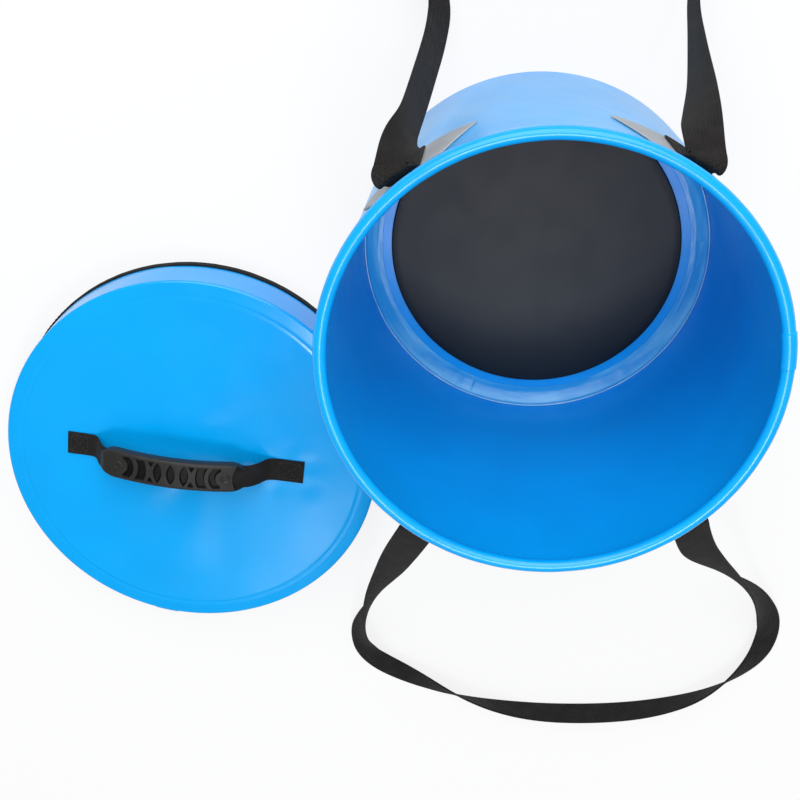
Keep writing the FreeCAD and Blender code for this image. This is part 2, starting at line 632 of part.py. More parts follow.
def make_lid_grip():
    """Arched moulding with tapered ends, a channel for the webbing and windows above it."""
    half = GRIP_LENGTH / 2
    shoulder = half - GRIP_END_TAPER
    side = GRIP_WIDTH / 2
    end_side = GRIP_END_WIDTH / 2
    low = LID_HEIGHT
    high = LID_HEIGHT + GRIP_TOP_HEIGHT + GRIP_THICKNESS
    outline = [
        (-half, -end_side),
        (-shoulder, -side),
        (shoulder, -side),
        (half, -end_side),
        (half, end_side),
        (shoulder, side),
        (-shoulder, side),
        (-half, end_side),
    ]
    slab = arch_band(-GRIP_THICKNESS / 2, GRIP_THICKNESS / 2, 2 * GRIP_WIDTH)
    body = slab.common(prism(outline, low, high))
    body = body.cut(arch_band(-CHANNEL_HEIGHT / 2, CHANNEL_HEIGHT / 2, CHANNEL_WIDTH))
    above_channel = arch_band(0, GRIP_THICKNESS, 2 * GRIP_WIDTH)
    for window in grip_windows(low, high):
        body = body.cut(window.common(above_channel))
    near = half - MOUTH_LENGTH
    far = 2 * half
    under_left = arch_band(-GRIP_THICKNESS, CHANNEL_HEIGHT / 2, 2 * GRIP_WIDTH)
    over_right = arch_band(-CHANNEL_HEIGHT / 2, GRIP_THICKNESS, 2 * GRIP_WIDTH)
    for end, open_part in ((-1, under_left), (1, over_right)):
        corners = [(end * near, -side), (end * near, side), (end * far, side), (end * far, -side)]
        body = body.cut(prism(corners, low, high).common(open_part))
    return body.cut(rivet_holes()).removeSplitter()


def make_grip_rivets():
    """Two hollow rivets with round heads, one near each end of the grip."""
    reach = GRIP_THICKNESS / 2 + WELD_GAP
    end = reach + RIVET_HEAD_HEIGHT
    shank = post(RIVET_RADIUS, -reach, reach)
    head = post(RIVET_HEAD_RADIUS, reach, end)
    foot = post(RIVET_HEAD_RADIUS, -end, -reach)
    bore = post(RIVET_BORE_RADIUS, 0, end)
    return at_rivets(shank.fuse(head).fuse(foot).cut(bore).removeSplitter())


def place_lid(shape):
    """A lid piece where the lid lies, turned to its handle's direction."""
    placed = turn(shape, LID_YAW)
    angle = math.radians(LID_AZIMUTH)
    placed.translate(FreeCAD.Vector(math.cos(angle), math.sin(angle), 0) * LID_DISTANCE)
    return placed


# Bucket body
save("bucket_wall", make_bucket_wall())
save("base_sheet", make_base_sheet())
save("corner_seam_band", make_corner_seam_band())
save("base_pad", make_base_pad())

# Rim and the strap ends that ride on it
save("rim_hem", make_rim_hem())
save("rim_hoop", make_rim_hoop())
save("hoop_joiner", make_hoop_joiner())
STRAP_ENDS = {
    "front_left": -90.0 - STRAP_SPREAD,
    "front_right": -90.0 + STRAP_SPREAD,
    "rear_left": 90.0 + STRAP_SPREAD,
    "rear_right": 90.0 - STRAP_SPREAD,
}
for place, azimuth in STRAP_ENDS.items():
    save("strap_patch_" + place, make_strap_patch(azimuth))
    save("strap_tab_" + place, make_strap_tab(azimuth))

# Carry straps: the rear one is laid out like the front one and turned half round
save("carry_strap_front", make_carry_strap("carry_strap_front", FRONT_ROUTE))
save("carry_strap_rear", turn(make_carry_strap("carry_strap_rear", REAR_ROUTE), 180.0))

# Lid
save("lid_top", place_lid(make_lid_top()))
save("lid_core", place_lid(make_lid_core()))
save("lid_skirt", place_lid(make_lid_skirt()))
save("lid_liner", place_lid(make_lid_liner()))
save("lid_binding", place_lid(make_lid_binding()))
save("lid_handle_tab_left", place_lid(make_lid_handle_tab(LEFT_FOOT, LEFT_FLAT, 1)))
save("lid_handle_tab_right", place_lid(make_lid_handle_tab(RIGHT_FOOT, RIGHT_FLAT, -1)))

# Lid handle
save("lid_handle_strap", place_lid(make_lid_handle_strap()))
save("lid_grip", place_lid(make_lid_grip()))
save("grip_rivets", place_lid(make_grip_rivets()))
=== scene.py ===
# %% [markdown]
# # A collapsible fishing bucket
# The real bucket is cut from blue coated sheet and welded: a cone for the wall, a round base with a dark
# pad, a seam tape in the corner and a hem that is rolled round a hoop. Two webbing straps are sewn on grey
# patches. The lid lies beside it, with a moulded grip on a webbing handle.
# This lesson dresses a measured model of that bucket. The model comes in first and is never moved, so the
# surfaces made here take their main sizes and their places from it.

# %% Load the measured model
import bmesh
import bpy
import json
import math
import numpy as np
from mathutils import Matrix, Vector


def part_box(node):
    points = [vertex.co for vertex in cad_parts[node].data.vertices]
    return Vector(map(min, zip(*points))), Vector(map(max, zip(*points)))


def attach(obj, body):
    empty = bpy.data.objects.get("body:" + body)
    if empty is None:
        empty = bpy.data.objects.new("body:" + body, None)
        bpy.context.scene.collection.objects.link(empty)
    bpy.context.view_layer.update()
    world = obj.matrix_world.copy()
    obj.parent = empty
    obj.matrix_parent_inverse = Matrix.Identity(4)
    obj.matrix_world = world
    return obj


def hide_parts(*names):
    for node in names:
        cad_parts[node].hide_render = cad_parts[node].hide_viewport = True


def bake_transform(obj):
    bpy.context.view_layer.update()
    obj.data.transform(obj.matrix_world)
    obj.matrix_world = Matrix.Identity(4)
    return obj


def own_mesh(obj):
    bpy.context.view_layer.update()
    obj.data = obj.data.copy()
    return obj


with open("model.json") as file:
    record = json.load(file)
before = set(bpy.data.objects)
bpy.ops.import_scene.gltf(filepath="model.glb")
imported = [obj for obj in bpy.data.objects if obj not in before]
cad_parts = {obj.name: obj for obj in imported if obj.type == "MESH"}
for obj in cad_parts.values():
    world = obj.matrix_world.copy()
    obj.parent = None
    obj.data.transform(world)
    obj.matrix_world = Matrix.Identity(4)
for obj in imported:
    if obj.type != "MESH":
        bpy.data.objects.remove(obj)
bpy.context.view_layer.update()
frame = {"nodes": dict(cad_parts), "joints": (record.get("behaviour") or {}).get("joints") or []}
JOINTS = {joint["name"]: joint for joint in frame["joints"]}
MM = 0.001
UP = np.array([0.0, 0.0, 1.0])

# %% [markdown]
# ## Sizes
# The main sizes are read from a node's box or from a joint. The sheet's thickness and the small gaps, at a
# weld and where a piece lies loose, are given. Blender works in metres, so a size that a maker would give in
# millimetres is written as a number times MM.

# %% Sizes from the frame


def corners(node):
    """Lowest and highest corner of one node, as two arrays."""
    low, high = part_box(node)
    return np.array(low), np.array(high)


SHEET = 1.2 * MM
WELD_GAP = 0.1 * MM
LOOSE_GAP = 0.3 * MM
WALL_TOP_RADIUS, WALL_TOP = corners("bucket_wall")[1][1:]
RIM_RADIUS, RIM_TOP = corners("rim_hem")[1][1:]
TAIL_BOTTOM = corners("rim_hem")[0][2]
BELOW_HEM = TAIL_BOTTOM - 2.0 * MM
BASE_RADIUS = corners("base_sheet")[1][1] + WELD_GAP + SHEET
PAD_RADIUS, PAD_TOP = corners("base_pad")[1][1:]
BAND_TOP = corners("corner_seam_band")[1][2]
LID_LOW, LID_HIGH = corners("lid_top")
LID_CENTRE = (LID_LOW + LID_HIGH)[:2] / 2
LID_RADIUS = (LID_HIGH - LID_LOW)[0] / 2
LID_TOP = LID_HIGH[2]
HANDLE_AXIS = np.array(JOINTS["lid_handle_swing"]["axis"])


def wall_radius(height):
    """Outer radius of the cone: it grows in a straight line from the base to the rim."""
    return BASE_RADIUS + (WALL_TOP_RADIUS - BASE_RADIUS) * height / WALL_TOP


print("rim radius", RIM_RADIUS, "height", RIM_TOP, "lid radius", LID_RADIUS)

# %% [markdown]
# ## From arrays to meshes
# A surface is a grid: rows of points, with the same number of points in each row. Neighbouring rows and
# columns make quads. A ring wraps its last row round to its first, and a tube wraps its columns too. The
# helper merges points that fall together, such as at the middle of a disc, turns all faces outwards and
# shades them smooth.

# %% Grid helpers
MERGE_REACH = 1e-6
UV_NAME = "along_across"


def grid_quads(rows, columns, wrap_rows, wrap_columns):
    """Row and column numbers of the four corners of every quad of a grid, before they wrap round."""
    row_starts = np.arange(rows - 1 + wrap_rows)
    column_starts = np.arange(columns - 1 + wrap_columns)
    i, j = np.meshgrid(row_starts, column_starts, indexing="ij")
    return i.reshape(-1, 1) + [0, 0, 1, 1], j.reshape(-1, 1) + [0, 1, 1, 0]


def close_mesh(mesh, sharp):
    """Merge points that fall together, turn the faces outwards and shade smooth up to an angle."""
    work = bmesh.new()
    work.from_mesh(mesh)
    bmesh.ops.remove_doubles(work, verts=work.verts, dist=MERGE_REACH)
    bmesh.ops.recalc_face_normals(work, faces=work.faces)
    work.to_mesh(mesh)
    work.free()
    mesh.polygons.foreach_set("use_smooth", np.ones(len(mesh.polygons), bool))
    mesh.set_sharp_from_angle(angle=math.radians(sharp))
    mesh.update()


def grid_mesh(name, points, wrap_rows=False, wrap_columns=False, caps=False, uv=None, sharp=50):
    """A mesh of a grid of points. Caps close its first and last row, and uv gives each point its pattern
    place. On a ring, uv has one row more than the points, so that the pattern runs on where the ring closes.
    Edges sharper than an angle in degrees stay hard."""
    rows, columns = points.shape[:2]
    i, j = grid_quads(rows, columns, wrap_rows, wrap_columns)
    faces = (i % rows * columns + j % columns).tolist()
    if caps:
        last = (rows - 1) * columns
        faces += [list(range(columns)), list(range(last, last + columns))]
    mesh = bpy.data.meshes.new(name)
    mesh.from_pydata(points.reshape(-1, 3).tolist(), [], faces)
    if uv is not None:
        places = uv[i % len(uv), j % columns].reshape(-1, 2)
        if caps:
            places = np.concatenate([places, uv[0], uv[-1]])
        mesh.uv_layers.new(name=UV_NAME).data.foreach_set("uv", places.ravel())
    close_mesh(mesh, sharp)
    return mesh


def put(mesh, material, body=None, stands_for=()):
    """Show a mesh as a piece of the bucket that moves with one body and stands for some nodes."""
    piece = bpy.data.objects.new(mesh.name, mesh)
    bpy.context.scene.collection.objects.link(piece)
    mesh.materials.append(material)
    if body:
        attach(piece, body)
    if stands_for:
        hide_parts(*stands_for)
    print(mesh.name, len(mesh.polygons), "faces")
    return piece


print("grid helpers ready")

# %% [markdown]
# ## Shape helpers
# A few small formulas are used all through the lesson. `ease` is the smooth step that fades one shape into
# another. `ripple` is a wavy line round a circle, which keeps welded sheet from looking machined.
# `soft_outline` rounds the corners of a section, and `turned` swings a section round an upright axis, as a
# lathe would. `lapped_turn` marks the strip where the ends of a rolled sheet lap.

# %% Shape helpers


def ease(value):
    """Smooth step: 0 below 0, 1 above 1, and 3t squared minus 2t cubed between."""
    t = np.clip(value, 0, 1)
    return t * t * (3 - 2 * t)


def unit(vectors):
    """Vectors of the same direction and length 1."""
    return vectors / np.linalg.norm(vectors, axis=-1, keepdims=True)


def ripple(angles, seed, counts):
    """A wavy line round a circle, from -1 to 1: the mean of sines with these counts of waves in a turn. The
    seed gives their phases."""
    phases = np.random.default_rng(seed).uniform(0, 2 * np.pi, len(counts))
    return np.sin(np.multiply.outer(angles, counts) + phases).mean(axis=-1)


def soft_outline(outline, radii, steps=6):
    """Round the corners of a closed outline: (1-t)^2 start + 2t(1-t) corner + t^2 end for each corner."""
    corner = np.array(outline, float)
    reach = np.broadcast_to(np.array(radii, float), len(corner))[:, None]
    start = corner + unit(np.roll(corner, 1, axis=0) - corner) * reach
    end = corner + unit(np.roll(corner, -1, axis=0) - corner) * reach
    t = np.linspace(0, 1, steps)[:, None]
    curve = (1 - t) ** 2 * start[:, None] + 2 * t * (1 - t) * corner[:, None] + t ** 2 * end[:, None]
    return curve.reshape(-1, 2)


def round_angles(count, steps=(), spread=0.002):
    """Angles of one turn as a column, evenly spaced, with a few more close to each step in the surface."""
    even = np.arange(count) * 2 * np.pi / count
    close = np.add.outer(np.array(steps), np.arange(-4, 5) * spread).ravel() % (2 * np.pi)
    return np.unique(np.concatenate([even, close]))[:, None]


def turned(radius, height, angles, centre=(0, 0)):
    """Turn a profile about an upright axis: x = radius cos(angle), y = radius sin(angle)."""
    x = centre[0] + radius * np.cos(angles)
    y = centre[1] + radius * np.sin(angles)
    return np.stack(np.broadcast_arrays(x, y, height), axis=-1)


def lapped_turn(count, middle, half, soft, spread=0.002):
    """Angles of a turn that has a lapped strip in it, and the strip's mask: 1 inside the strip and 0
    outside, with soft edges, as the smooth step of the way in from the edge."""
    angles = round_angles(count, (middle - half, middle + half), spread)
    away = np.abs((angles - middle + np.pi) % (2 * np.pi) - np.pi)
    return angles, ease((half - away) / soft + 0.5)


def crowded(count, share=1.0):
    """Numbers on both sides of 0 that crowd towards their ends: sines of even steps, which go up to a share
    of a quarter turn."""
    return np.sin(np.linspace(-1, 1, count) * np.pi / 2 * share)


print("shape helpers ready")

# %% [markdown]
# ## Camera, floor and light
# The camera stands above the bucket and looks down into it, at the angle of the photograph. The floor is
# white paper. Rays that the eye or a gloss sends to it see it glow, which lifts its soft shadows, but it
# throws no extra light on the bucket. A large soft key lamp stands above and behind the camera. Two smaller
# ones stand where the lid and the pad mirror them to the camera, and an even sky fills the shadows.

# %% Camera
CAMERA_PLACE = (-0.0358, 0.3145, 0.9989)
CAMERA_TURN = (-24.17, 3.14, -3.19)
CAMERA_LENS = 58.5
CAMERA_SENSOR = 36.0
scene = bpy.context.scene
scene.view_settings.view_transform = "Standard"
camera = bpy.data.objects.new("camera", bpy.data.cameras.new("camera"))
camera.location = CAMERA_PLACE
camera.rotation_euler = [math.radians(angle) for angle in CAMERA_TURN]
camera.data.lens = CAMERA_LENS
camera.data.sensor_width = CAMERA_SENSOR
scene.collection.objects.link(camera)
scene.camera = camera
print("camera at", CAMERA_PLACE)

# %% Node helpers


def feed(tree, socket, value):
    """Give a socket another socket's result, or a plain value."""
    if isinstance(value, bpy.types.NodeSocket):
        tree.links.new(value, socket)
    elif value is not None:
        socket.default_value = value


def arithmetic(tree, operation, first, second=None, third=None):
    """One arithmetic step of a node tree, as its result socket."""
    node = tree.nodes.new("ShaderNodeMath")
    node.operation = operation
    for socket, value in zip(node.inputs, (first, second, third)):
        feed(tree, socket, value)
    return node.outputs[0]


def seen_ray(tree, in_gloss):
    """1 for rays from the camera or through glass, and from a gloss if asked, and 0 for all others."""
    path = tree.nodes.new("ShaderNodeLightPath")
    gloss = arithmetic(tree, "MULTIPLY", path.outputs["Is Glossy Ray"], in_gloss)
    clear = arithmetic(tree, "MAXIMUM", gloss, path.outputs["Is Transmission Ray"])
    return arithmetic(tree, "MAXIMUM", path.outputs["Is Camera Ray"], clear)


print("node helpers ready")

# %% Floor
FLOOR_COLOUR = (0.86, 0.87, 0.88, 1)
FLOOR_GLOW = 0.84
FLOOR_HALF = 6.0
FLOOR_CORNERS = ((-1, -1), (1, -1), (1, 1), (-1, 1))

floor_mesh = bpy.data.meshes.new("floor")
floor_points = [(x * FLOOR_HALF, y * FLOOR_HALF, -LOOSE_GAP) for x, y in FLOOR_CORNERS]
floor_mesh.from_pydata(floor_points, [], [(0, 1, 2, 3)])
floor = bpy.data.objects.new("floor", floor_mesh)
scene.collection.objects.link(floor)

paper = bpy.data.materials.new("white_paper")
paper.use_nodes = True
paper_tree = paper.node_tree
paper_tree.nodes.clear()
paper_out = paper_tree.nodes.new("ShaderNodeOutputMaterial")
paper_mix = paper_tree.nodes.new("ShaderNodeMixShader")
paper_matt = paper_tree.nodes.new("ShaderNodeBsdfDiffuse")
paper_matt.inputs["Color"].default_value = FLOOR_COLOUR
paper_glow = paper_tree.nodes.new("ShaderNodeEmission")
paper_share = arithmetic(paper_tree, "MULTIPLY", seen_ray(paper_tree, 1.0), FLOOR_GLOW)
feed(paper_tree, paper_mix.inputs[0], paper_share)
feed(paper_tree, paper_mix.inputs[1], paper_matt.outputs[0])
feed(paper_tree, paper_mix.inputs[2], paper_glow.outputs[0])
feed(paper_tree, paper_out.inputs["Surface"], paper_mix.outputs[0])
floor_mesh.materials.append(paper)
print("floor of", 2 * FLOOR_HALF, "m")

# %% Sky and lamps
SKY_COLOUR = (1, 1, 1, 1)
SKY_LIGHT = 0.42
SKY_GLOSS = 0.06
LAMP_TARGET = Vector((-0.1, -0.05, 0.1))
# Each lamp has a place, a size in metres and a power in watts
LAMPS = {
    "key_lamp": (Vector((0.1, 1.25, 1.7)), 2.2, 38.0),
    "lid_sheen_lamp": (Vector((-0.46, -1.30, 1.8)), 0.34, 1.1),
    "pad_sheen_lamp": (Vector((0.02, -0.53, 1.9)), 0.44, 8.5),
}

sky = bpy.data.worlds.new("even_sky")
scene.world = sky
sky.use_nodes = True
sky_tree = sky.node_tree
sky_shader = sky_tree.nodes["Background"]
sky_shader.inputs["Color"].default_value = SKY_COLOUR
sky_gloss = sky_tree.nodes.new("ShaderNodeLightPath").outputs["Is Glossy Ray"]
sky_fill = arithmetic(sky_tree, "MULTIPLY_ADD", sky_gloss, SKY_GLOSS - SKY_LIGHT, SKY_LIGHT)
sky_share = arithmetic(sky_tree, "MAXIMUM", sky_fill, seen_ray(sky_tree, 0.0))
feed(sky_tree, sky_shader.inputs["Strength"], sky_share)

for lamp_name, (lamp_place, lamp_size, lamp_power) in LAMPS.items():
    lamp = bpy.data.objects.new(lamp_name, bpy.data.lights.new(lamp_name, "AREA"))
    lamp.data.shape = "DISK"
    lamp.data.size = lamp_size
    lamp.data.energy = lamp_power
    lamp.location = lamp_place
    lamp.rotation_euler = (LAMP_TARGET - lamp_place).to_track_quat("-Z", "Y").to_euler()
    scene.collection.objects.link(lamp)
print("lamps:", ", ".join(LAMPS))

# %% [markdown]
# ## Finishes that repeat
# Several materials share an effect. It could be copied into each, but a node group that is built once is
# easier to change. `sheet_skin` is the faint print and slow waviness of coated sheet. `webbing_weave` is the
# pattern of threads in a strap, and reads the strap's own along and across places in metres. `handling` is
# the rubbed and dusty look of things that are carried about.

# %% Group helpers
VECTOR, NUMBER = "NodeSocketVector", "NodeSocketFloat"


def new_group(name, inputs, outputs):
    """A node group with named sockets: inputs are (name, kind, value) and outputs are (name, kind)."""
    group = bpy.data.node_groups.new(name, "ShaderNodeTree")
    for label, kind, value in inputs:
        socket = group.interface.new_socket(label, in_out="INPUT", socket_type=kind)
        if value is not None:
            socket.default_value = value
    for label, kind in outputs:
        group.interface.new_socket(label, in_out="OUTPUT", socket_type=kind)
    return group, group.nodes.new("NodeGroupInput").outputs, group.nodes.new("NodeGroupOutput").inputs


def noise(tree, vector, scale, detail):
    """A cloudy pattern from 0 to 1 at a scale of so many blobs in a metre."""
    node = tree.nodes.new("ShaderNodeTexNoise")
    feed(tree, node.inputs["Vector"], vector)
    feed(tree, node.inputs["Scale"], scale)
    feed(tree, node.inputs["Detail"], detail)
    return node.outputs["Fac"]


print("group helpers ready")

# %% Sheet skin
GRAIN_SCALE = 1400.0
GRAIN_HEIGHT = 0.002
GRAIN_SHADE = 0.2
skin, skin_in, skin_out = new_group(
    "sheet_skin",
    [("Vector", VECTOR, None), ("Grain scale", NUMBER, GRAIN_SCALE), ("Wave scale", NUMBER, 22.0)],
    [("Height", NUMBER), ("Shade", NUMBER)],
)
skin_grain = noise(skin, skin_in["Vector"], skin_in["Grain scale"], 2.0)
skin_wave = noise(skin, skin_in["Vector"], skin_in["Wave scale"], 1.0)
feed(skin, skin_out["Height"], arithmetic(skin, "MULTIPLY_ADD", skin_grain, GRAIN_HEIGHT, skin_wave))
feed(skin, skin_out["Shade"], arithmetic(skin, "MULTIPLY_ADD", skin_grain, GRAIN_SHADE, skin_wave))
print("group", skin.name)

# %% Webbing weave
WAVE_TURN = 2 * math.pi
weave, weave_in, weave_out = new_group(
    "webbing_weave",
    [
        ("Along", NUMBER, 0.0),
        ("Across", NUMBER, 0.0),
        ("Pitch", NUMBER, 1.5 * MM),
        ("Column", NUMBER, 2.0 * MM),
    ],
    [("Height", NUMBER), ("Shade", NUMBER)],
)
weave_column = arithmetic(weave, "DIVIDE", weave_in["Across"], weave_in["Column"])
weave_slant = arithmetic(weave, "PINGPONG", weave_column, 1.0)
weave_pick = arithmetic(weave, "DIVIDE", weave_in["Along"], weave_in["Pitch"])
weave_slanted = arithmetic(weave, "ADD", weave_pick, weave_slant)
weave_phase = arithmetic(weave, "MULTIPLY", weave_slanted, WAVE_TURN)
weave_pick_wave = arithmetic(weave, "MULTIPLY_ADD", arithmetic(weave, "SINE", weave_phase), 0.5, 0.5)
weave_cord_phase = arithmetic(weave, "MULTIPLY", weave_column, WAVE_TURN)
weave_cord = arithmetic(weave, "MULTIPLY_ADD", arithmetic(weave, "COSINE", weave_cord_phase), 0.25, 0.75)
weave_height = arithmetic(weave, "MULTIPLY", weave_pick_wave, weave_cord)
feed(weave, weave_out["Height"], weave_height)
feed(weave, weave_out["Shade"], weave_height)
print("group", weave.name)

# %% Handling
HANDLING_DETAIL = 5.0
HANDLING_START = 0.45
HANDLING_CONTRAST = 4.0
handling, handling_in, handling_out = new_group(
    "handling",
    [("Vector", VECTOR, None), ("Scale", NUMBER, 60.0), ("Amount", NUMBER, 0.5)],
    [("Mask", NUMBER)],
)
handling_cloud = noise(handling, handling_in["Vector"], handling_in["Scale"], HANDLING_DETAIL)
handling_edge = arithmetic(handling, "SUBTRACT", handling_cloud, HANDLING_START)
handling_ramp = arithmetic(handling, "MULTIPLY", handling_edge, HANDLING_CONTRAST)
handling_node = handling.nodes.new("ShaderNodeClamp")
feed(handling, handling_node.inputs["Value"], handling_ramp)
handling_mask = arithmetic(handling, "MULTIPLY", handling_node.outputs[0], handling_in["Amount"])
feed(handling, handling_out["Mask"], handling_mask)
print("group", handling.name)

# %% Material helpers


def new_material(name, roughness, specular):
    """A material with one shader, whose fixed numbers are set on the shader itself."""
    material = bpy.data.materials.new(name)
    material.use_nodes = True
    shader = material.node_tree.nodes["Principled BSDF"]
    shader.inputs["Roughness"].default_value = roughness
    shader.inputs["Specular IOR Level"].default_value = specular
    return material, material.node_tree, shader


def use_group(tree, group, **values):
    """Place a node group and feed its inputs, whose names are written with underscores for spaces."""
    node = tree.nodes.new("ShaderNodeGroup")
    node.node_tree = group
    for label, value in values.items():
        feed(tree, node.inputs[label.replace("_", " ").capitalize()], value)
    return node.outputs


def mix_colours(tree, factor, first, second):
    """A colour between two colours."""
    node = tree.nodes.new("ShaderNodeMix")
    node.data_type = "RGBA"
    feed(tree, node.inputs["Factor"], factor)
    for socket, value in zip([s for s in node.inputs if s.type == "RGBA"], (first, second)):
        feed(tree, socket, value if isinstance(value, bpy.types.NodeSocket) else (*value, 1))
    return [s for s in node.outputs if s.type == "RGBA"][0]


def bump(tree, shader, height, distance):
    """Let a height pattern, in units of a distance in metres, tilt the surface's normal."""
    node = tree.nodes.new("ShaderNodeBump")
    node.inputs["Distance"].default_value = distance
    feed(tree, node.inputs["Height"], height)
    feed(tree, shader.inputs["Normal"], node.outputs["Normal"])


def object_place(tree):
    """The place on the object, in metres, as a pattern's coordinates."""
    return tree.nodes.new("ShaderNodeTexCoord").outputs["Object"]


def strip_place(tree):
    """The place on a strip from its own UV map, which holds metres along and across it."""
    node = tree.nodes.new("ShaderNodeUVMap")
    node.uv_map = UV_NAME
    return node.outputs["UV"]


def split(tree, vector):
    """The separate numbers of a vector, as sockets."""
    node = tree.nodes.new("ShaderNodeSeparateXYZ")
    feed(tree, node.inputs[0], vector)
    return node.outputs


def scaled(colour, share):
    """A colour made darker or lighter by a share."""
    return tuple(min(1.0, channel * share) for channel in colour)


print("material helpers ready")

# %% [markdown]
# ## Coated sheet
# The blue sheet is a smooth plastic skin over a woven core. It is one strong colour with a satin gloss, so
# the finish is mostly in how its highlight breaks up: a very fine print, slow waves and rubbed places that
# are a little duller. The patches, the pad and the hidden pieces get the same finish with other values. The
# weld tape is clearer in some places and milky in others. The bead on its upper edge is painted pale, as a
# painted highlight.

# %% Sheet materials
RUB_SCALE = 38.0
RUB_DULL = 0.2
SHEET_DARK, SHEET_LIGHT = 0.9, 1.06
TAPE_STRETCH = (1.0, 7.0, 1.0)
TAPE_STREAKS = 16.0
TAPE_GRAIN = 90.0
TAPE_DULL = 0.15
TAPE_BUMP = 0.15 * MM


def make_sheet(name, colour, roughness, specular, wave_scale, wave_depth, rubbed):
    """Coated sheet: a colour that drifts a little, a fine print, slow waves and dull rubbed places."""
    material, tree, shader = new_material(name, roughness, specular)
    place = object_place(tree)
    skin_node = use_group(tree, skin, vector=place, grain_scale=GRAIN_SCALE, wave_scale=wave_scale)
    rub = use_group(tree, handling, vector=place, scale=RUB_SCALE, amount=rubbed)["Mask"]
    tone = mix_colours(tree, skin_node["Shade"], scaled(colour, SHEET_DARK), scaled(colour, SHEET_LIGHT))
    feed(tree, shader.inputs["Base Color"], tone)
    feed(tree, shader.inputs["Roughness"], arithmetic(tree, "MULTIPLY_ADD", rub, RUB_DULL, roughness))
    bump(tree, shader, skin_node["Height"], wave_depth)
    return material


def make_tape(name, clear, milky, roughness, specular):
    """Weld tape: between clear and milky in long streaks, drawn out along the tape by its UV map."""
    material, tree, shader = new_material(name, roughness, specular)
    stretch = tree.nodes.new("ShaderNodeVectorMath")
    stretch.operation = "MULTIPLY"
    feed(tree, stretch.inputs[0], strip_place(tree))
    stretch.inputs[1].default_value = TAPE_STRETCH
    stretched = stretch.outputs[0]
    streaks = use_group(tree, handling, vector=stretched, scale=TAPE_STREAKS, amount=1.0)["Mask"]
    fine = noise(tree, stretched, TAPE_GRAIN, 2.0)
    feed(tree, shader.inputs["Base Color"], mix_colours(tree, streaks, clear, milky))
    feed(tree, shader.inputs["Roughness"], arithmetic(tree, "MULTIPLY_ADD", fine, TAPE_DULL, roughness))
    bump(tree, shader, fine, TAPE_BUMP)
    return material


BLUE = (0.0006, 0.40, 0.96)
# Each sheet has a colour, roughness, gloss, waves in a metre, depth of the waves and strength of the rubbing
SHEETS = {
    "blue_sheet": (BLUE, 0.28, 0.5, 20.0, 0.5 * MM, 0.2),
    "lid_sheet": (BLUE, 0.19, 0.5, 16.0, 0.7 * MM, 0.2),
    "rim_sheet": (BLUE, 0.25, 0.5, 26.0, 0.3 * MM, 0.15),
    # The tape's edge bead is painted pale: a painted highlight along the weld
    "tape_edge_painted_highlight": ((0.50, 0.78, 0.97), 0.25, 0.5, 60.0, 0.1 * MM, 0.2),
    "grey_patch": ((0.39, 0.42, 0.45), 0.55, 0.3, 40.0, 0.3 * MM, 0.7),
    "dark_pad": ((0.005, 0.010, 0.014), 0.4, 0.28, 14.0, 0.05 * MM, 0.1),
    "plain_board": ((0.55, 0.55, 0.53), 0.7, 0.3, 30.0, 0.2 * MM, 0.4),
    "plain_tube": ((0.6, 0.6, 0.58), 0.5, 0.4, 30.0, 0.2 * MM, 0.4),
    "black_thread": ((0.035, 0.033, 0.032), 0.6, 0.3, 300.0, 0.1 * MM, 0.4),
}
finish = {name: make_sheet(name, *values) for name, values in SHEETS.items()}
finish["seam_tape"] = make_tape("seam_tape", (0.02, 0.40, 0.82), (0.18, 0.63, 0.93), 0.24, 0.5)
print("finishes:", ", ".join(finish))

# %% [markdown]
# ## Webbing
# Webbing is woven flat: thick cords run along it and fine threads slant across them in columns that lean
# left and right in turn. Modelled threads would take millions of faces, so they are a pattern. It reads the
# strap's own UV map, which holds metres along and across it, so the threads follow every bend and twist.

# %% Webbing materials
WEBBING_ROUGHNESS = 0.85
WEBBING_GLOSS = 0.15
WEBBING_SHEEN = 0.04
SHEEN_ROUGHNESS = 0.4
WEBBING_BUMP = 0.25 * MM
THREAD_DARK, THREAD_LIGHT, THREAD_DUSTY = 0.55, 1.25, 1.7
DUST_SCALE = 90.0
DUST_SHARE = 0.35


def make_webbing(name, colour, pitch, column):
    """Woven webbing: thread shade and height from the weave, with dusty rubbed places."""
    material, tree, shader = new_material(name, WEBBING_ROUGHNESS, WEBBING_GLOSS)
    along, across = split(tree, strip_place(tree))[:2]
    threads = use_group(tree, weave, along=along, across=across, pitch=pitch, column=column)
    rub = use_group(tree, handling, vector=object_place(tree), scale=DUST_SCALE, amount=DUST_SHARE)["Mask"]
    woven = mix_colours(tree, threads["Shade"], scaled(colour, THREAD_DARK), scaled(colour, THREAD_LIGHT))
    dusty = mix_colours(tree, rub, woven, scaled(colour, THREAD_DUSTY))
    feed(tree, shader.inputs["Base Color"], dusty)
    shader.inputs["Sheen Weight"].default_value = WEBBING_SHEEN
    shader.inputs["Sheen Roughness"].default_value = SHEEN_ROUGHNESS
    bump(tree, shader, threads["Height"], WEBBING_BUMP)
    return material


# Each webbing has a colour, the pitch of its threads along it and the width of its columns
WEBBINGS = {
    "black_webbing": ((0.020, 0.0185, 0.018), 1.5 * MM, 2.1 * MM),
    "black_binding": ((0.016, 0.016, 0.017), 1.0 * MM, 1.2 * MM),
}
for webbing_name, webbing_values in WEBBINGS.items():
    finish[webbing_name] = make_webbing(webbing_name, *webbing_values)
print("webbings:", ", ".join(WEBBINGS))
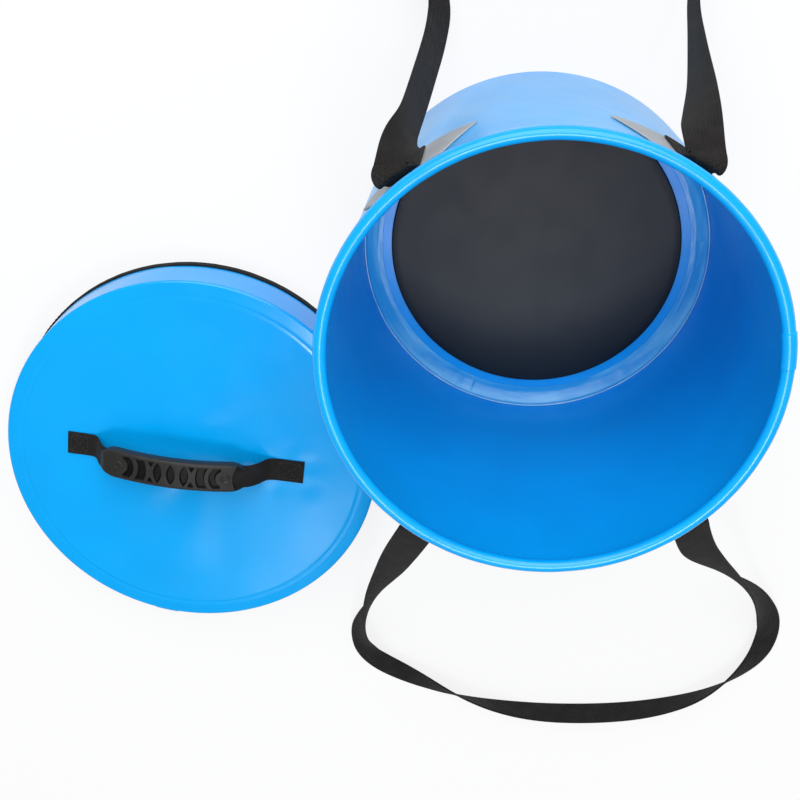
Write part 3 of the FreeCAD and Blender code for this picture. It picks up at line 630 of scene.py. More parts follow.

# %% [markdown]
# ## Carry straps
# Each strap is one length of 25 mm webbing. It leaves the bucket at two sewn ends, falls to the floor and
# lies there in a loop, turning over as loose webbing does. A route below is a short list of given points.
# Each row is x, y and z in millimetres and the turn of the webbing in degrees. The rear route is drawn
# in front of the bucket too, and its strap gets half a turn about the bucket's axis when it is made. A NURBS
# spline makes a smooth line of a route. A curve's own bevel could follow it, but it gives little say in how
# flat webbing twists, so a flat section is carried along the line in code.

# %% Strap routes
STRAP_WIDTH = 25.0 * MM
STRAP_THICKNESS = 1.6 * MM
STRAP_SPREAD = math.radians(36)
STRAP_HINGE_Y, STRAP_HINGE_Z = JOINTS["front_strap_swing"]["pos_m"][1:]
ROOT_TUCK = 9.3 * MM
ROOT_DROP = 1.3 * MM
ROOT_RADIUS = abs(STRAP_HINGE_Y) / math.cos(STRAP_SPREAD) - ROOT_TUCK
ROOT_X = ROOT_RADIUS * math.sin(STRAP_SPREAD)
ROOT_Y = -ROOT_RADIUS * math.cos(STRAP_SPREAD)
ROOT_Z = STRAP_HINGE_Z - ROOT_DROP
FRONT_ROUTE = np.array([
    (-97.0, -138.0, 222.0, 180.0),
    (-108.0, -168.0, 192.0, 174.0),
    (-119.0, -203.0, 156.0, 160.0),
    (-132.0, -240.0, 120.0, 138.0),
    (-145.0, -281.0, 84.0, 106.0),
    (-156.0, -321.0, 49.0, 68.0),
    (-162.0, -353.0, 22.0, 34.0),
    (-156.0, -384.0, 8.0, 14.0),
    (-121.0, -407.0, 7.0, 16.0),
    (-70.0, -431.0, 12.6, 66.0),
    (-14.0, -445.0, 13.2, 96.0),
    (46.0, -448.0, 13.2, 97.0),
    (102.0, -443.0, 13.2, 93.0),
    (152.0, -427.0, 12.9, 72.0),
    (192.0, -395.0, 9.0, 24.0),
    (203.0, -358.0, 10.0, 18.0),
    (191.0, -324.0, 27.0, 46.0),
    (173.0, -291.0, 56.0, 88.0),
    (154.0, -256.0, 95.0, 118.0),
    (134.0, -220.0, 136.0, 138.0),
    (115.0, -186.0, 176.0, 156.0),
    (99.5, -154.0, 210.0, 172.0),
])
REAR_ROUTE = np.array([
    (-92.0, -137.0, 218.0, 152.0),
    (-96.0, -143.0, 186.0, 112.0),
    (-102.0, -150.0, 140.0, 95.0),
    (-107.0, -160.0, 92.0, 93.0),
    (-111.0, -173.0, 48.0, 92.0),
    (-114.0, -196.0, 20.0, 96.0),
    (-123.0, -226.0, 13.4, 102.0),
    (-152.0, -257.0, 13.0, 102.0),
    (-178.0, -292.0, 13.0, 100.0),
    (-173.0, -336.0, 13.0, 100.0),
    (-137.0, -365.0, 13.0, 102.0),
    (-84.0, -374.0, 13.0, 104.0),
    (-27.0, -376.0, 13.0, 104.0),
    (31.0, -374.0, 13.0, 104.0),
    (86.0, -367.0, 13.0, 104.0),
    (132.0, -347.0, 13.0, 102.0),
    (153.0, -309.0, 13.0, 102.0),
    (141.0, -270.0, 13.0, 104.0),
    (108.0, -243.0, 13.2, 108.0),
    (76.0, -222.0, 14.5, 114.0),
    (66.0, -196.0, 24.0, 124.0),
    (70.0, -174.0, 50.0, 132.0),
    (76.0, -159.0, 92.0, 136.0),
    (81.0, -148.0, 140.0, 138.0),
    (85.0, -141.0, 186.0, 142.0),
    (89.0, -136.0, 218.0, 156.0),
])
print("route points:", len(FRONT_ROUTE), len(REAR_ROUTE))

# %% Ribbon helpers
END_SHARES = np.array([1.0, 0.8, 0.4])[:, None]
LEAST_FULLNESS = 0.02


def read_spline(points, steps=10):
    """Points read from the smooth NURBS spline of order 3 that has these control points."""
    curve = bpy.data.curves.new("route", "CURVE")
    curve.dimensions = "3D"
    curve.resolution_u = steps
    spline = curve.splines.new("NURBS")
    spline.points.add(len(points) - 1)
    spline.points.foreach_set("co", np.c_[points, np.ones(len(points))].ravel())
    spline.order_u = 3
    spline.use_endpoint_u = True
    holder = bpy.data.objects.new("route", curve)
    line = bpy.data.meshes.new_from_object(holder)
    found = np.zeros(len(line.vertices) * 3, np.float32)
    line.vertices.foreach_get("co", found)
    bpy.data.objects.remove(holder)
    bpy.data.curves.remove(curve)
    bpy.data.meshes.remove(line)
    return found.reshape(-1, 3).astype(float)


def distances(line):
    """Length along a line up to each of its points."""
    return np.concatenate([[0], np.cumsum(np.linalg.norm(np.diff(line, axis=0), axis=1))])


def flat_section(width, thickness, steps=10):
    """Closed outline of webbing, as (across, out) points: two flat faces joined by half rounds."""
    flat = np.linspace(-1, 1, steps) * (width - thickness) / 2
    bow = np.linspace(-np.pi / 2, np.pi / 2, 6)[1:-1]
    edge = np.c_[(width - thickness) / 2 + np.cos(bow) * thickness / 2, np.sin(bow) * thickness / 2]
    top = np.c_[flat[::-1], np.full(steps, thickness / 2)]
    bottom = np.c_[flat, np.full(steps, -thickness / 2)]
    return np.concatenate([top, edge[::-1] * [-1, 1], bottom, edge])


def ribbon(name, centres, across, section, rounded=False, curl=None, inward=None):
    """Carry a flat section along a line: centre + across times width + out times thickness. A rounded ribbon
    thins to a half round at its first end. With curl it bends round too, inwards by half of width squared
    times curl."""
    along = unit(np.gradient(centres, axis=0))
    out = unit(np.cross(along, across))
    side = np.cross(out, along)
    run = distances(centres)
    half = np.abs(section[:, 1]).max()
    to_end = run if rounded else run + half
    fullness = np.sqrt(np.clip(1 - np.clip(1 - to_end / half, 0, 1) ** 2, LEAST_FULLNESS, 1))
    points = centres[:, None] + side[:, None] * section[None, :, :1]
    points = points + out[:, None] * (section[None, :, 1:] * fullness[:, None, None])
    if curl is not None:
        points = points + inward * (curl[:, None, None] * section[None, :, :1] ** 2 / 2)
    uv = np.stack(np.broadcast_arrays(run[:, None], section[None, :, 0]), axis=-1)
    return grid_mesh(name, points, wrap_columns=True, caps=True, uv=uv, sharp=70)


def end_rows(centres, reach):
    """Add rows at the first end of a line, so that it can be rounded. They move the end out by reach."""
    added = centres[0] + unit(centres[0] - centres[1]) * reach * END_SHARES
    return np.concatenate([added, centres])


def end_values(values):
    """Values of a line with its first one repeated for the rows that end_rows adds."""
    return np.concatenate([np.repeat(values[:1], len(END_SHARES), axis=0), values])


print("ribbon helpers ready")

# %% Carry straps
ROOT_TWIST = STRAP_SPREAD / 2
ROOT_LEFT = np.array([-math.cos(ROOT_TWIST), math.sin(ROOT_TWIST), 0.0])
ROOT_RIGHT = np.array([math.cos(ROOT_TWIST), math.sin(ROOT_TWIST), 0.0])
FRONT_RELAX = 100.0 * MM
REAR_RELAX = 42.0 * MM
TWIST_ROWS = 9
HALF_TURN = np.array([-1.0, -1.0, 1.0])


def smoothed(vectors, reach):
    """Each row as the mean of its neighbours, up to reach rows away, with weights that fall off as a raised
    cosine."""
    weights = np.hanning(2 * reach + 3)[1:-1]
    padded = np.pad(vectors, ((reach, reach), (0, 0)), mode="edge")
    columns = [np.convolve(column, weights / weights.sum(), "valid") for column in padded.T]
    return np.stack(columns, axis=-1)


def strap_line(route, relax):
    """Centre line and width direction: level times cos(turn) plus upward times sin(turn). Within relax of
    each root it eases to the root's own width direction, half-way between the wall's and straight across."""
    ends = np.array([(-ROOT_X, ROOT_Y, ROOT_Z), (ROOT_X, ROOT_Y, ROOT_Z)])
    points = np.concatenate([ends[:1], route[:, :3] * MM, ends[1:]])
    turns = np.radians(np.concatenate([route[:1, 3], route[:, 3], route[-1:, 3]]))
    centres = read_spline(points)
    turn = read_spline(np.c_[turns, turns, turns])[:, 0]
    along = unit(np.gradient(centres, axis=0))
    level = unit(np.cross(UP, along))
    upward = np.cross(along, level)
    across = level * np.cos(turn)[:, None] + upward * np.sin(turn)[:, None]
    run = distances(centres)
    left = (1 - ease(run / relax))[:, None]
    right = (1 - ease((run[-1] - run) / relax))[:, None]
    eased = unit(across * (1 - left - right) + ROOT_LEFT * left + ROOT_RIGHT * right)
    return centres, unit(smoothed(eased, TWIST_ROWS))


def make_carry_strap(name, node, body, route, relax, spin):
    """One strap: the ribbon along its route. It gives back both roots, each as a body, a place, the
    direction in which the strap leaves it and its width direction. Spin is 1, or the half turn of the rear
    strap."""
    centres, across = (line * spin for line in strap_line(route, relax))
    mesh = ribbon(name, centres, across, flat_section(STRAP_WIDTH, STRAP_THICKNESS))
    piece = put(mesh, finish["black_webbing"], body, [node])
    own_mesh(piece)
    first_root = (body, centres[0], unit(centres[1] - centres[0]), across[0])
    last_root = (body, centres[-1], unit(centres[-2] - centres[-1]), across[-1])
    return first_root, last_root


STRAP_ROOTS = {}
STRAP_ROOTS["front_left"], STRAP_ROOTS["front_right"] = make_carry_strap(
    "front_carry_strap", "carry_strap_front", "front_strap", FRONT_ROUTE, FRONT_RELAX, 1.0)
STRAP_ROOTS["rear_right"], STRAP_ROOTS["rear_left"] = make_carry_strap(
    "rear_carry_strap", "carry_strap_rear", "rear_strap", REAR_ROUTE, REAR_RELAX, HALF_TURN)

# %% [markdown]
# ## Bucket wall
# The wall is one sheet rolled into a cone, with its two ends lapped and welded in a strip. It could be a
# cone with a Solidify modifier, but the lap shows only outside, so the section is drawn whole: up the
# outside, down the inside. Slow waves, which fade out at the welds, keep the highlights from being ruler
# straight.

# %% Bucket wall
WALL_LAP_ANGLE = math.radians(2)
WALL_LAP_HALF = 11.0 * MM / BASE_RADIUS
WALL_LAP_SOFT = 0.8 * MM / BASE_RADIUS
WALL_LAP_FADE = 34.0 * MM
WALL_WAVE = 0.9 * MM
WALL_ROWS = 56
# Waves are a seed for their phases and the numbers of waves in a turn
WALL_SLOW_WAVES = (3, (2, 3, 5, 7))
WALL_DRIFT_WAVES = (5, (4, 6, 9, 13))
WALL_DRIFT_SLANT = 0.9
WALL_DRIFT_SHARE = 0.5


def sheet_ring(name, outside, lap, height, angles, centre=(0, 0)):
    """A ring of sheet: up the outside, which a lap lifts by one sheet, and down the inside."""
    radius = np.concatenate([outside + SHEET * lap, (outside - SHEET)[:, ::-1]], axis=1)
    heights = np.concatenate([height, height[::-1]])
    return grid_mesh(name, turned(radius, heights, angles, centre), wrap_rows=True, wrap_columns=True)


def make_wall():
    """Radius = cone + waves + lap. Waves fade as sin(pi height share), and the lap ends below the hem."""
    angles, strip = lapped_turn(300, WALL_LAP_ANGLE, WALL_LAP_HALF, WALL_LAP_SOFT)
    height = np.linspace(0, WALL_TOP, WALL_ROWS)
    share = height / WALL_TOP
    slow = ripple(angles, *WALL_SLOW_WAVES) * np.sin(np.pi * share) ** 0.8
    drift = ripple(angles + share * WALL_DRIFT_SLANT, *WALL_DRIFT_WAVES) * np.sin(np.pi * share)
    lap = strip * ease((BELOW_HEM - height) / WALL_LAP_FADE)
    outside = wall_radius(height) + WALL_WAVE * (slow + WALL_DRIFT_SHARE * drift)
    mesh = sheet_ring("wall_sheet", outside, lap, height, angles)
    piece = put(mesh, finish["blue_sheet"], "bucket", ["bucket_wall"])
    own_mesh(piece)


make_wall()

# %% [markdown]
# ## Pad and seam tape
# Inside, a pale tape covers the corner where the wall meets the base. It lies on the base, slopes up and
# ends on the wall in a welded edge, whose bead is painted pale as a painted highlight. A dark pad lies in
# the middle, and a ring of bare blue base shows between the two. Both are profiles turned on the bucket's
# axis.
# A Screw modifier could turn them, but here the profile changes a little on its way round, as hand-welded
# tape does.

# %% Pad
PAD_EDGE = 1.2 * MM
PAD_UNEVEN = 0.25 * MM
PAD_WAVES = (11, (3, 5, 8))


def make_pad():
    """A disc with a rounded edge, whose top is uneven by a fraction of a millimetre towards its edge."""
    angles = round_angles(180)
    share = np.linspace(0, 1, 22)
    flat = (PAD_RADIUS - PAD_EDGE) * share
    bow = np.linspace(0, np.pi / 2, 6)[1:]
    edge_radius = PAD_RADIUS - PAD_EDGE + PAD_EDGE * np.sin(bow)
    edge_height = PAD_TOP - PAD_EDGE + PAD_EDGE * np.cos(bow)
    radius = np.concatenate([flat, edge_radius, [PAD_RADIUS, 0]])
    height = np.concatenate([np.full(len(flat), PAD_TOP), edge_height, [SHEET, SHEET]])
    swell = np.concatenate([share ** 2 * (1 - share) * 4, np.zeros(len(radius) - len(share))])
    uneven = height + PAD_UNEVEN * swell * ripple(angles, *PAD_WAVES)
    mesh = grid_mesh("base_mat", turned(radius, uneven, angles), wrap_rows=True)
    put(mesh, finish["dark_pad"], "bucket", ["base_pad"])


make_pad()

# %% Seam tape
BAND_WIDTH = 14.0 * MM
BAND_FOOT = 4.0 * MM
BAND_RISE = 4.5 * MM
BAND_THICKNESS = 0.9 * MM
BAND_ROUNDS = np.array([0.2, 0.4, 1.6, 1.2, 0.2, 0.4, 0.3, 0.5, 1.0]) * MM
BEAD = 0.45 * MM
BEAD_WAVES = (13, (7, 16, 33))
TAPE_LAP_ANGLE = math.radians(-118)
TAPE_LAP_HALF = 8.0 * MM / BASE_RADIUS
TAPE_LAP_SOFT = 1.0 * MM / BASE_RADIUS
TAPE_LAP_PROUD = 0.6 * MM
TAPE_LONG_WAVE, TAPE_SHORT_WAVE = 0.45 * MM, 0.12 * MM
TAPE_LONG_WAVES = (17, (5, 9, 14, 23, 41))
TAPE_SHORT_WAVES = (19, (60, 83))
TAPE_LOWEST = -0.2 * MM


def ring_uv(angles, radius, across):
    """Pattern places of a ring: metres round it and across it, with one row more to close the turn."""
    turn = np.append(angles, angles[:1] + 2 * np.pi, axis=0)
    return np.stack(np.broadcast_arrays(turn * radius, across), axis=-1)


def make_seam_tape():
    """The tape's section, with a bead along its upper edge, turned with a ripple that lifts its slope and a
    lap where its two ends meet."""
    angles, lap = lapped_turn(360, TAPE_LAP_ANGLE, TAPE_LAP_HALF, TAPE_LAP_SOFT, 0.003)
    inner = BASE_RADIUS - SHEET - WELD_GAP - BAND_WIDTH
    low = SHEET + BAND_RISE
    at_low = wall_radius(low) - SHEET - WELD_GAP
    at_top = wall_radius(BAND_TOP) - SHEET - WELD_GAP
    outline = soft_outline([
        (inner, SHEET),
        (inner, SHEET + BAND_THICKNESS),
        (inner + BAND_FOOT, SHEET + BAND_THICKNESS),
        (at_low - 1.4 * BAND_THICKNESS, low + BAND_THICKNESS / 2),
        (at_top - BAND_THICKNESS - BEAD, BAND_TOP - 2 * BEAD),
        (at_top - BAND_THICKNESS - BEAD, BAND_TOP),
        (at_top, BAND_TOP),
        (at_low, low),
        (inner + BAND_FOOT, SHEET),
    ], BAND_ROUNDS)
    slope = np.sin(np.pi * np.clip((outline[:, 0] - inner) / BAND_WIDTH, 0, 1))
    wave = ripple(angles, *TAPE_LONG_WAVES) * TAPE_LONG_WAVE
    wave = wave + ripple(angles, *TAPE_SHORT_WAVES) * TAPE_SHORT_WAVE
    wave = np.clip(wave, TAPE_LOWEST, None) + lap * TAPE_LAP_PROUD
    radius = outline[:, 0] - wave * slope * 0.5
    points = turned(radius, outline[:, 1] + wave * slope, angles)
    uv = ring_uv(angles, BASE_RADIUS, distances(outline))
    mesh = grid_mesh("corner_tape", points, wrap_rows=True, wrap_columns=True, uv=uv, sharp=75)
    put(mesh, finish["seam_tape"], "bucket", ["corner_seam_band"])
    bow = np.arange(8) * np.pi / 4
    thick = BEAD * (1 + 0.5 * ripple(angles, *BEAD_WAVES))
    bead_radius = at_top - BAND_THICKNESS + thick * np.cos(bow)
    bead = turned(bead_radius, BAND_TOP + thick * np.sin(bow), angles)
    # The bead gets a pale colour, a painted highlight on the tape's upper edge
    mesh = grid_mesh("tape_bead", bead, wrap_rows=True, wrap_columns=True, sharp=80)
    put(mesh, finish["tape_edge_painted_highlight"], "bucket")


make_seam_tape()

# %% [markdown]
# ## Pieces that keep their shape
# The base, the lid's lining and the hidden board and hoop are right as they were measured. Each only gets a
# finish in its own material slot.

# %% Finish the plain pieces
PLAIN_PIECES = {
    "base_sheet": "blue_sheet",
    "lid_liner": "blue_sheet",
    "lid_core": "plain_board",
    "rim_hoop": "plain_tube",
    "hoop_joiner": "plain_tube",
}
for plain_node, plain_finish in PLAIN_PIECES.items():
    plain_slots = frame["nodes"][plain_node].data.materials
    plain_slots.clear()
    plain_slots.append(finish[plain_finish])
print("plain pieces:", ", ".join(PLAIN_PIECES))

# %% [markdown]
# ## Rim
# The rim is a hem: the sheet is rolled round a plastic hoop and its flap is welded down the outside. A torus
# would be quicker, but it has no flap. So the roll is drawn as an arc of nearly a full circle that runs into
# the two faces of the flap. Where the hem's ends lap, the roll is a little fatter, with a step that shows
# from above.

# %% Rim
HEM_ROLL = 4.35 * MM
HEM_CENTRE_RADIUS = RIM_RADIUS - HEM_ROLL
HEM_CENTRE_Z = RIM_TOP - HEM_ROLL
HEM_LAP_HALF = 12.0 * MM / HEM_CENTRE_RADIUS
HEM_LAP_SOFT = 0.5 * MM / HEM_CENTRE_RADIUS
HEM_LAP_PROUD = 0.6 * MM
HEM_PINCH = 0.12 * MM
HEM_WAVES = (23, (7, 12, 19, 31, 53))


def make_rim():
    """Roll radius = hem + lap + pinches, on an arc from the flap's outside, over the top, to its inside. The
    lap fades out below the roll's middle."""
    angles, lap = lapped_turn(400, WALL_LAP_ANGLE, HEM_LAP_HALF, HEM_LAP_SOFT, 0.0015)
    flap_in = wall_radius(np.array([TAIL_BOTTOM, WALL_TOP])) + LOOSE_GAP
    flap_out = flap_in + SHEET
    start = -math.acos((flap_out[1] - HEM_CENTRE_RADIUS) / HEM_ROLL)
    end = 2 * np.pi - math.acos((flap_in[1] - HEM_CENTRE_RADIUS) / HEM_ROLL)
    swing = np.linspace(start, end, 40)
    upper = ease(np.sin(swing) * 2 + 0.8)
    roll = HEM_ROLL + ripple(angles, *HEM_WAVES) * HEM_PINCH + HEM_LAP_PROUD * lap * upper
    roll_radius = HEM_CENTRE_RADIUS + roll * np.cos(swing)
    roll_height = HEM_CENTRE_Z + roll * np.sin(swing)
    climb = np.linspace(0, 1, 7)[:-1]
    out_radius = flap_out[0] + (flap_out[1] - flap_out[0]) * climb
    in_radius = flap_in[0] + (flap_in[1] - flap_in[0]) * climb[::-1]
    rise = HEM_CENTRE_Z + HEM_ROLL * math.sin(start) - TAIL_BOTTOM
    flap_height = TAIL_BOTTOM + rise * climb
    ones = np.ones_like(angles)
    radius = np.concatenate([out_radius * ones, roll_radius, in_radius * ones], axis=1)
    height = np.concatenate([flap_height * ones, roll_height, flap_height[::-1] * ones], axis=1)
    mesh = grid_mesh("rim_roll", turned(radius, height, angles), wrap_rows=True, wrap_columns=True)
    put(mesh, finish["rim_sheet"], "rim", ["rim_hem"])


make_rim()

# %% [markdown]
# ## Thread
# Stitches are short threads that dip into the cloth at both ends. A bump pattern could hint at them, but
# real shapes catch the light from every side. One small capsule is worked out, and an array of places and
# directions carries it to every stitch at once.

# %% Stitch helpers
STITCH_LENGTH = 2.3 * MM
STITCH_WIDTH = 0.75 * MM
STITCH_PITCH = 3.0 * MM
STITCH_ROWS, STITCH_COLUMNS = 5, 6


def stitch_mesh(name, centres, along, out):
    """Capsules: along times length sin(a) plus a ring of radius width cos(a), at each centre."""
    tip = np.linspace(-np.pi / 2, np.pi / 2, STITCH_ROWS)[:, None]
    ring = np.arange(STITCH_COLUMNS) * 2 * np.pi / STITCH_COLUMNS
    shape = np.stack(np.broadcast_arrays(
        np.sin(tip) * STITCH_LENGTH / 2,
        np.cos(tip) * np.cos(ring) * STITCH_WIDTH / 2,
        np.cos(tip) * np.sin(ring) * STITCH_WIDTH / 2,
    ), axis=-1)
    out = np.broadcast_to(out, along.shape)
    axes = np.stack([along, np.cross(out, along), out], axis=1)
    points = centres[:, None, None] + np.einsum("rcx,nxy->nrcy", shape, axes)
    i, j = grid_quads(STITCH_ROWS, STITCH_COLUMNS, False, True)
    firsts = np.arange(len(centres)) * STITCH_ROWS * STITCH_COLUMNS
    faces = (i * STITCH_COLUMNS + j % STITCH_COLUMNS)[None] + firsts[:, None, None]
    mesh = bpy.data.meshes.new(name)
    mesh.from_pydata(points.reshape(-1, 3).tolist(), [], faces.reshape(-1, 4).tolist())
    close_mesh(mesh, sharp=80)
    return mesh


def stitch_row(start, end):
    """Middles and directions of stitches on a straight line between two (along, across) points."""
    start, end = np.array(start), np.array(end)
    count = max(2, int(np.linalg.norm(end - start) / STITCH_PITCH))
    shares = (np.arange(count) + 0.5) / count
    return start + (end - start) * shares[:, None], np.repeat(unit(end - start)[None], count, axis=0)


def box_and_cross(low, high, half):
    """The usual sewn box with a cross in it, from low to high along the webbing and half to each side."""
    a, b, c, d = (low, -half), (low, half), (high, half), (high, -half)
    rows = [stitch_row(*pair) for pair in ((a, b), (b, c), (c, d), (d, a), (a, c), (b, d))]
    return np.concatenate([row[0] for row in rows]), np.concatenate([row[1] for row in rows])


print("stitch helpers ready")

# %% [markdown]
# ## Patches and strap ends
# A grey patch spreads the pull of each strap end over the wall. It is wide at the bottom, with pointed
# corners. The strap's end is sewn flat on it, then bends outwards, where the loose webbing starts. A flat
# patch could be wrapped on with a Shrinkwrap modifier, but the wall is a plain cone, so both follow it by
# formula: a place is given by its height and by its way round the wall.

# %% Patches
PATCH_THICKNESS = 1.0 * MM
PATCH_HEIGHT = 58.0 * MM
PATCH_BOTTOM = BELOW_HEM - PATCH_HEIGHT
PATCH_TOP_HALF = 25.0 * MM
PATCH_BOTTOM_HALF = 48.0 * MM
PATCH_EDGE = 1.6 * MM
PRESSED_INSET = 4.0 * MM
PRESSED_HALF = 0.7 * MM
PRESSED_SHARE = 0.3
STRAP_ENDS = {
    "front_left": -np.pi / 2 - STRAP_SPREAD,
    "front_right": -np.pi / 2 + STRAP_SPREAD,
    "rear_left": np.pi / 2 + STRAP_SPREAD,
    "rear_right": np.pi / 2 - STRAP_SPREAD,
}


def make_patch(name, node, azimuth):
    """A face on the wall between slanted sides. It sinks to the wall at its border, as a quarter round, and
    has a pressed line near it, as a narrow bell."""
    side = crowded(49)
    rise = (crowded(33)[:, None] + 1) / 2
    half = PATCH_BOTTOM_HALF + (PATCH_TOP_HALF - PATCH_BOTTOM_HALF) * rise
    height = PATCH_BOTTOM + PATCH_HEIGHT * rise + 0 * side
    to_side = (1 - np.abs(side)) * half
    to_end = np.minimum(rise, 1 - rise) * PATCH_HEIGHT
    border = np.minimum(to_side, to_end)
    bulge = np.sqrt(1 - (1 - np.clip(border / PATCH_EDGE, 0, 1)) ** 2)
    pressed = np.exp(-((border - PRESSED_INSET) / PRESSED_HALF) ** 2) * PRESSED_SHARE
    angle = azimuth + side * half / wall_radius(height)
    inner = wall_radius(height) + LOOSE_GAP
    outer = inner + PATCH_THICKNESS * (bulge - pressed * bulge)
    front = turned(outer, height, angle)
    back = turned(inner, height, angle)
    points = np.concatenate([front, back[:, ::-1]], axis=1)
    mesh = grid_mesh(name, points, wrap_columns=True, caps=True)
    put(mesh, finish["grey_patch"], "rim", [node])


print("patches for:", ", ".join(STRAP_ENDS))

# %% Strap ends
TAB_BEND = 9.0 * MM
TAB_LENGTH = 46.0 * MM
TAB_TOP = STRAP_HINGE_Z - TAB_BEND
TAB_BOTTOM = TAB_TOP - TAB_LENGTH
TAB_MIDDLE = LOOSE_GAP + PATCH_THICKNESS + WELD_GAP + STRAP_THICKNESS / 2
LIFT_RISE, LIFT_OUT = 0.9 * TAB_BEND, 0.7 * MM
HUMP_BACK, HUMP_OUT = 1.2 * TAB_BEND, 1.0 * MM
SEWN_LOW, SEWN_HIGH = TAB_BOTTOM + 4.0 * MM, TAB_TOP - 5.0 * MM
SEWN_HALF = 9.0 * MM


def wall_frame(azimuth):
    """Directions straight out of the wall and level along it, at one way round."""
    outwards = np.array([math.cos(azimuth), math.sin(azimuth), 0.0])
    return outwards, np.cross(UP, outwards)


def make_strap_end(name, node, azimuth, body, root, leaving, root_width):
    """Webbing up the patch, then over in a hump to the root, where the loose strap carries on in the same
    line."""
    outwards, tangent = wall_frame(azimuth)
    climb = np.linspace(TAB_BOTTOM, TAB_TOP, 5)[:, None]
    flat = outwards * (wall_radius(climb) + TAB_MIDDLE) + UP * climb
    lift = flat[-1] + UP * LIFT_RISE + outwards * LIFT_OUT
    hump = root - leaving * HUMP_BACK + outwards * HUMP_OUT
    centres = read_spline(np.concatenate([flat, [lift, hump, root]]), 14)
    run = distances(centres)
    past = np.clip((run - TAB_LENGTH) / (run[-1] - TAB_LENGTH), 0, 1)
    turn = ease(past)[:, None]
    across = unit(tangent * (1 - turn) + root_width * np.sign(root_width @ tangent) * turn)
    curl = (1 - ease(past * 2)) / wall_radius(TAB_TOP)
    section = flat_section(STRAP_WIDTH, STRAP_THICKNESS)
    lines = end_rows(centres, STRAP_THICKNESS / 2)
    mesh = ribbon(name, lines, end_values(across), section, True, end_values(curl), -outwards)
    piece = put(mesh, finish["black_webbing"], None, [node])
    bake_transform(piece)


def make_strap_stitches(name, azimuth):
    """A sewn box and cross on the flat webbing, following the wall's curve."""
    places, ways = box_and_cross(SEWN_LOW, SEWN_HIGH, SEWN_HALF)
    outwards, tangent = wall_frame(azimuth)
    radius = wall_radius(places[:, 0]) + TAB_MIDDLE + STRAP_THICKNESS / 2
    sag = places[:, 1] ** 2 / 2 / radius
    centres = outwards * (radius - sag)[:, None] + tangent * places[:, 1:] + UP * places[:, :1]
    along = unit(UP * ways[:, :1] + tangent * ways[:, 1:])
    put(stitch_mesh(name, centres, along, outwards), finish["black_thread"], "rim")


for place, azimuth in STRAP_ENDS.items():
    make_patch("patch_" + place, "strap_patch_" + place, azimuth)
    make_strap_end("strap_end_" + place, "strap_tab_" + place, azimuth, *STRAP_ROOTS[place])
    make_strap_stitches("strap_stitches_" + place, azimuth)

# %% [markdown]
# ## Lid
# The lid is a board between two sheets, with a skirt that fits over the rim. A pressed weld line runs round
# its top, a little in from the edge, and the edge rolls over softly into the skirt. Black tape is folded
# round the skirt's lower edge and sewn. The pressed line and the dents at the handle's sewn ends could be
# sculpted. As formulas they keep their exact place on the measured lid.

# %% Lid top
CREASE_RADIUS = LID_RADIUS - 12.4 * MM
CREASE_HALF = 1.6 * MM
CREASE_DEPTH = 0.3 * MM
MARGIN_DROP = 0.8 * MM
LID_EDGE = 2.4 * MM
LID_HOLLOW = 0.5 * MM
LID_WAVE = 0.9 * MM
LID_SLOW_WAVES = (29, (2, 3))
LID_DRIFT_WAVES = (31, (4, 5, 7))
LID_DRIFT_SHARE = 0.6
SEWN_MIDDLES = (-93.0 * MM, 82.0 * MM)
SEWN_CLEAR, SEWN_FADE = 14.0 * MM, 26.0 * MM
DENT_RADIUS, DENT_HALF = 21.0 * MM, 8.0 * MM
DENT_DEPTH = 0.18 * MM
DENT_COUNT = 5


def sewn_dents(places, waves):
    """Waves that die away at the handle's two sewn ends, where the thread pulls small dents: a bell round
    each end's middle times a sine round it."""
    for middle in SEWN_MIDDLES:
        offset = places - HANDLE_AXIS[:2] * middle
        away = np.hypot(offset[..., 0], offset[..., 1])
        turn = np.arctan2(offset[..., 1], offset[..., 0])
        waves = waves * ease((away - SEWN_CLEAR) / SEWN_FADE)
        bell = np.exp(-((away - DENT_RADIUS) / DENT_HALF) ** 2)
        waves = waves + DENT_DEPTH * (bell * (np.sin(DENT_COUNT * turn + 40 * middle) - 0.4))
    return waves


def make_lid_top():
    """Height = top - crease + slow waves, with the crease as a bell round a circle and a rounded edge."""
    angles = round_angles(240)
    inside = np.linspace(0, CREASE_RADIUS - 3 * CREASE_HALF, 26)
    around = CREASE_RADIUS + np.linspace(-3, 3, 16)[1:] * CREASE_HALF
    margin = np.linspace(around[-1], LID_RADIUS - LID_EDGE, 5)[1:]
    flat = np.concatenate([inside, around, margin])
    bow = np.linspace(0, np.pi / 2, 8)[1:]
    edge = LID_RADIUS - LID_EDGE + LID_EDGE * np.sin(bow)
    radius = np.concatenate([flat, edge, [LID_RADIUS, LID_RADIUS - SHEET, 0]])
    crease = CREASE_DEPTH * np.exp(-((flat - CREASE_RADIUS) / (0.8 * CREASE_HALF)) ** 2)
    margin_share = np.clip((flat - CREASE_RADIUS) / (flat[-1] - CREASE_RADIUS), 0, 1)
    tops = LID_TOP - crease - MARGIN_DROP * margin_share
    rolled = LID_TOP - LID_EDGE + (LID_EDGE - MARGIN_DROP) * np.cos(bow)
    under = [LID_TOP - LID_EDGE - SHEET, LID_TOP - LID_EDGE - SHEET, LID_TOP - SHEET - LID_HOLLOW]
    height = np.concatenate([tops, rolled, under])
    share = np.concatenate([flat / CREASE_RADIUS, np.ones(len(radius) - len(flat))])
    fade = np.clip(share, 0, 1) * np.clip(1.06 - share, 0, 1) * 3
    drift = LID_DRIFT_SHARE * ripple(angles + share, *LID_DRIFT_WAVES)
    waves = (ripple(angles, *LID_SLOW_WAVES) + drift) * fade * LID_WAVE
    points = turned(radius, height, angles, LID_CENTRE)
    points[..., 2] += sewn_dents(points[..., :2] - LID_CENTRE, waves) * (share < 1)
    mesh = grid_mesh("lid_panel", points, wrap_rows=True)
    put(mesh, finish["lid_sheet"], "lid", ["lid_top"])


make_lid_top()

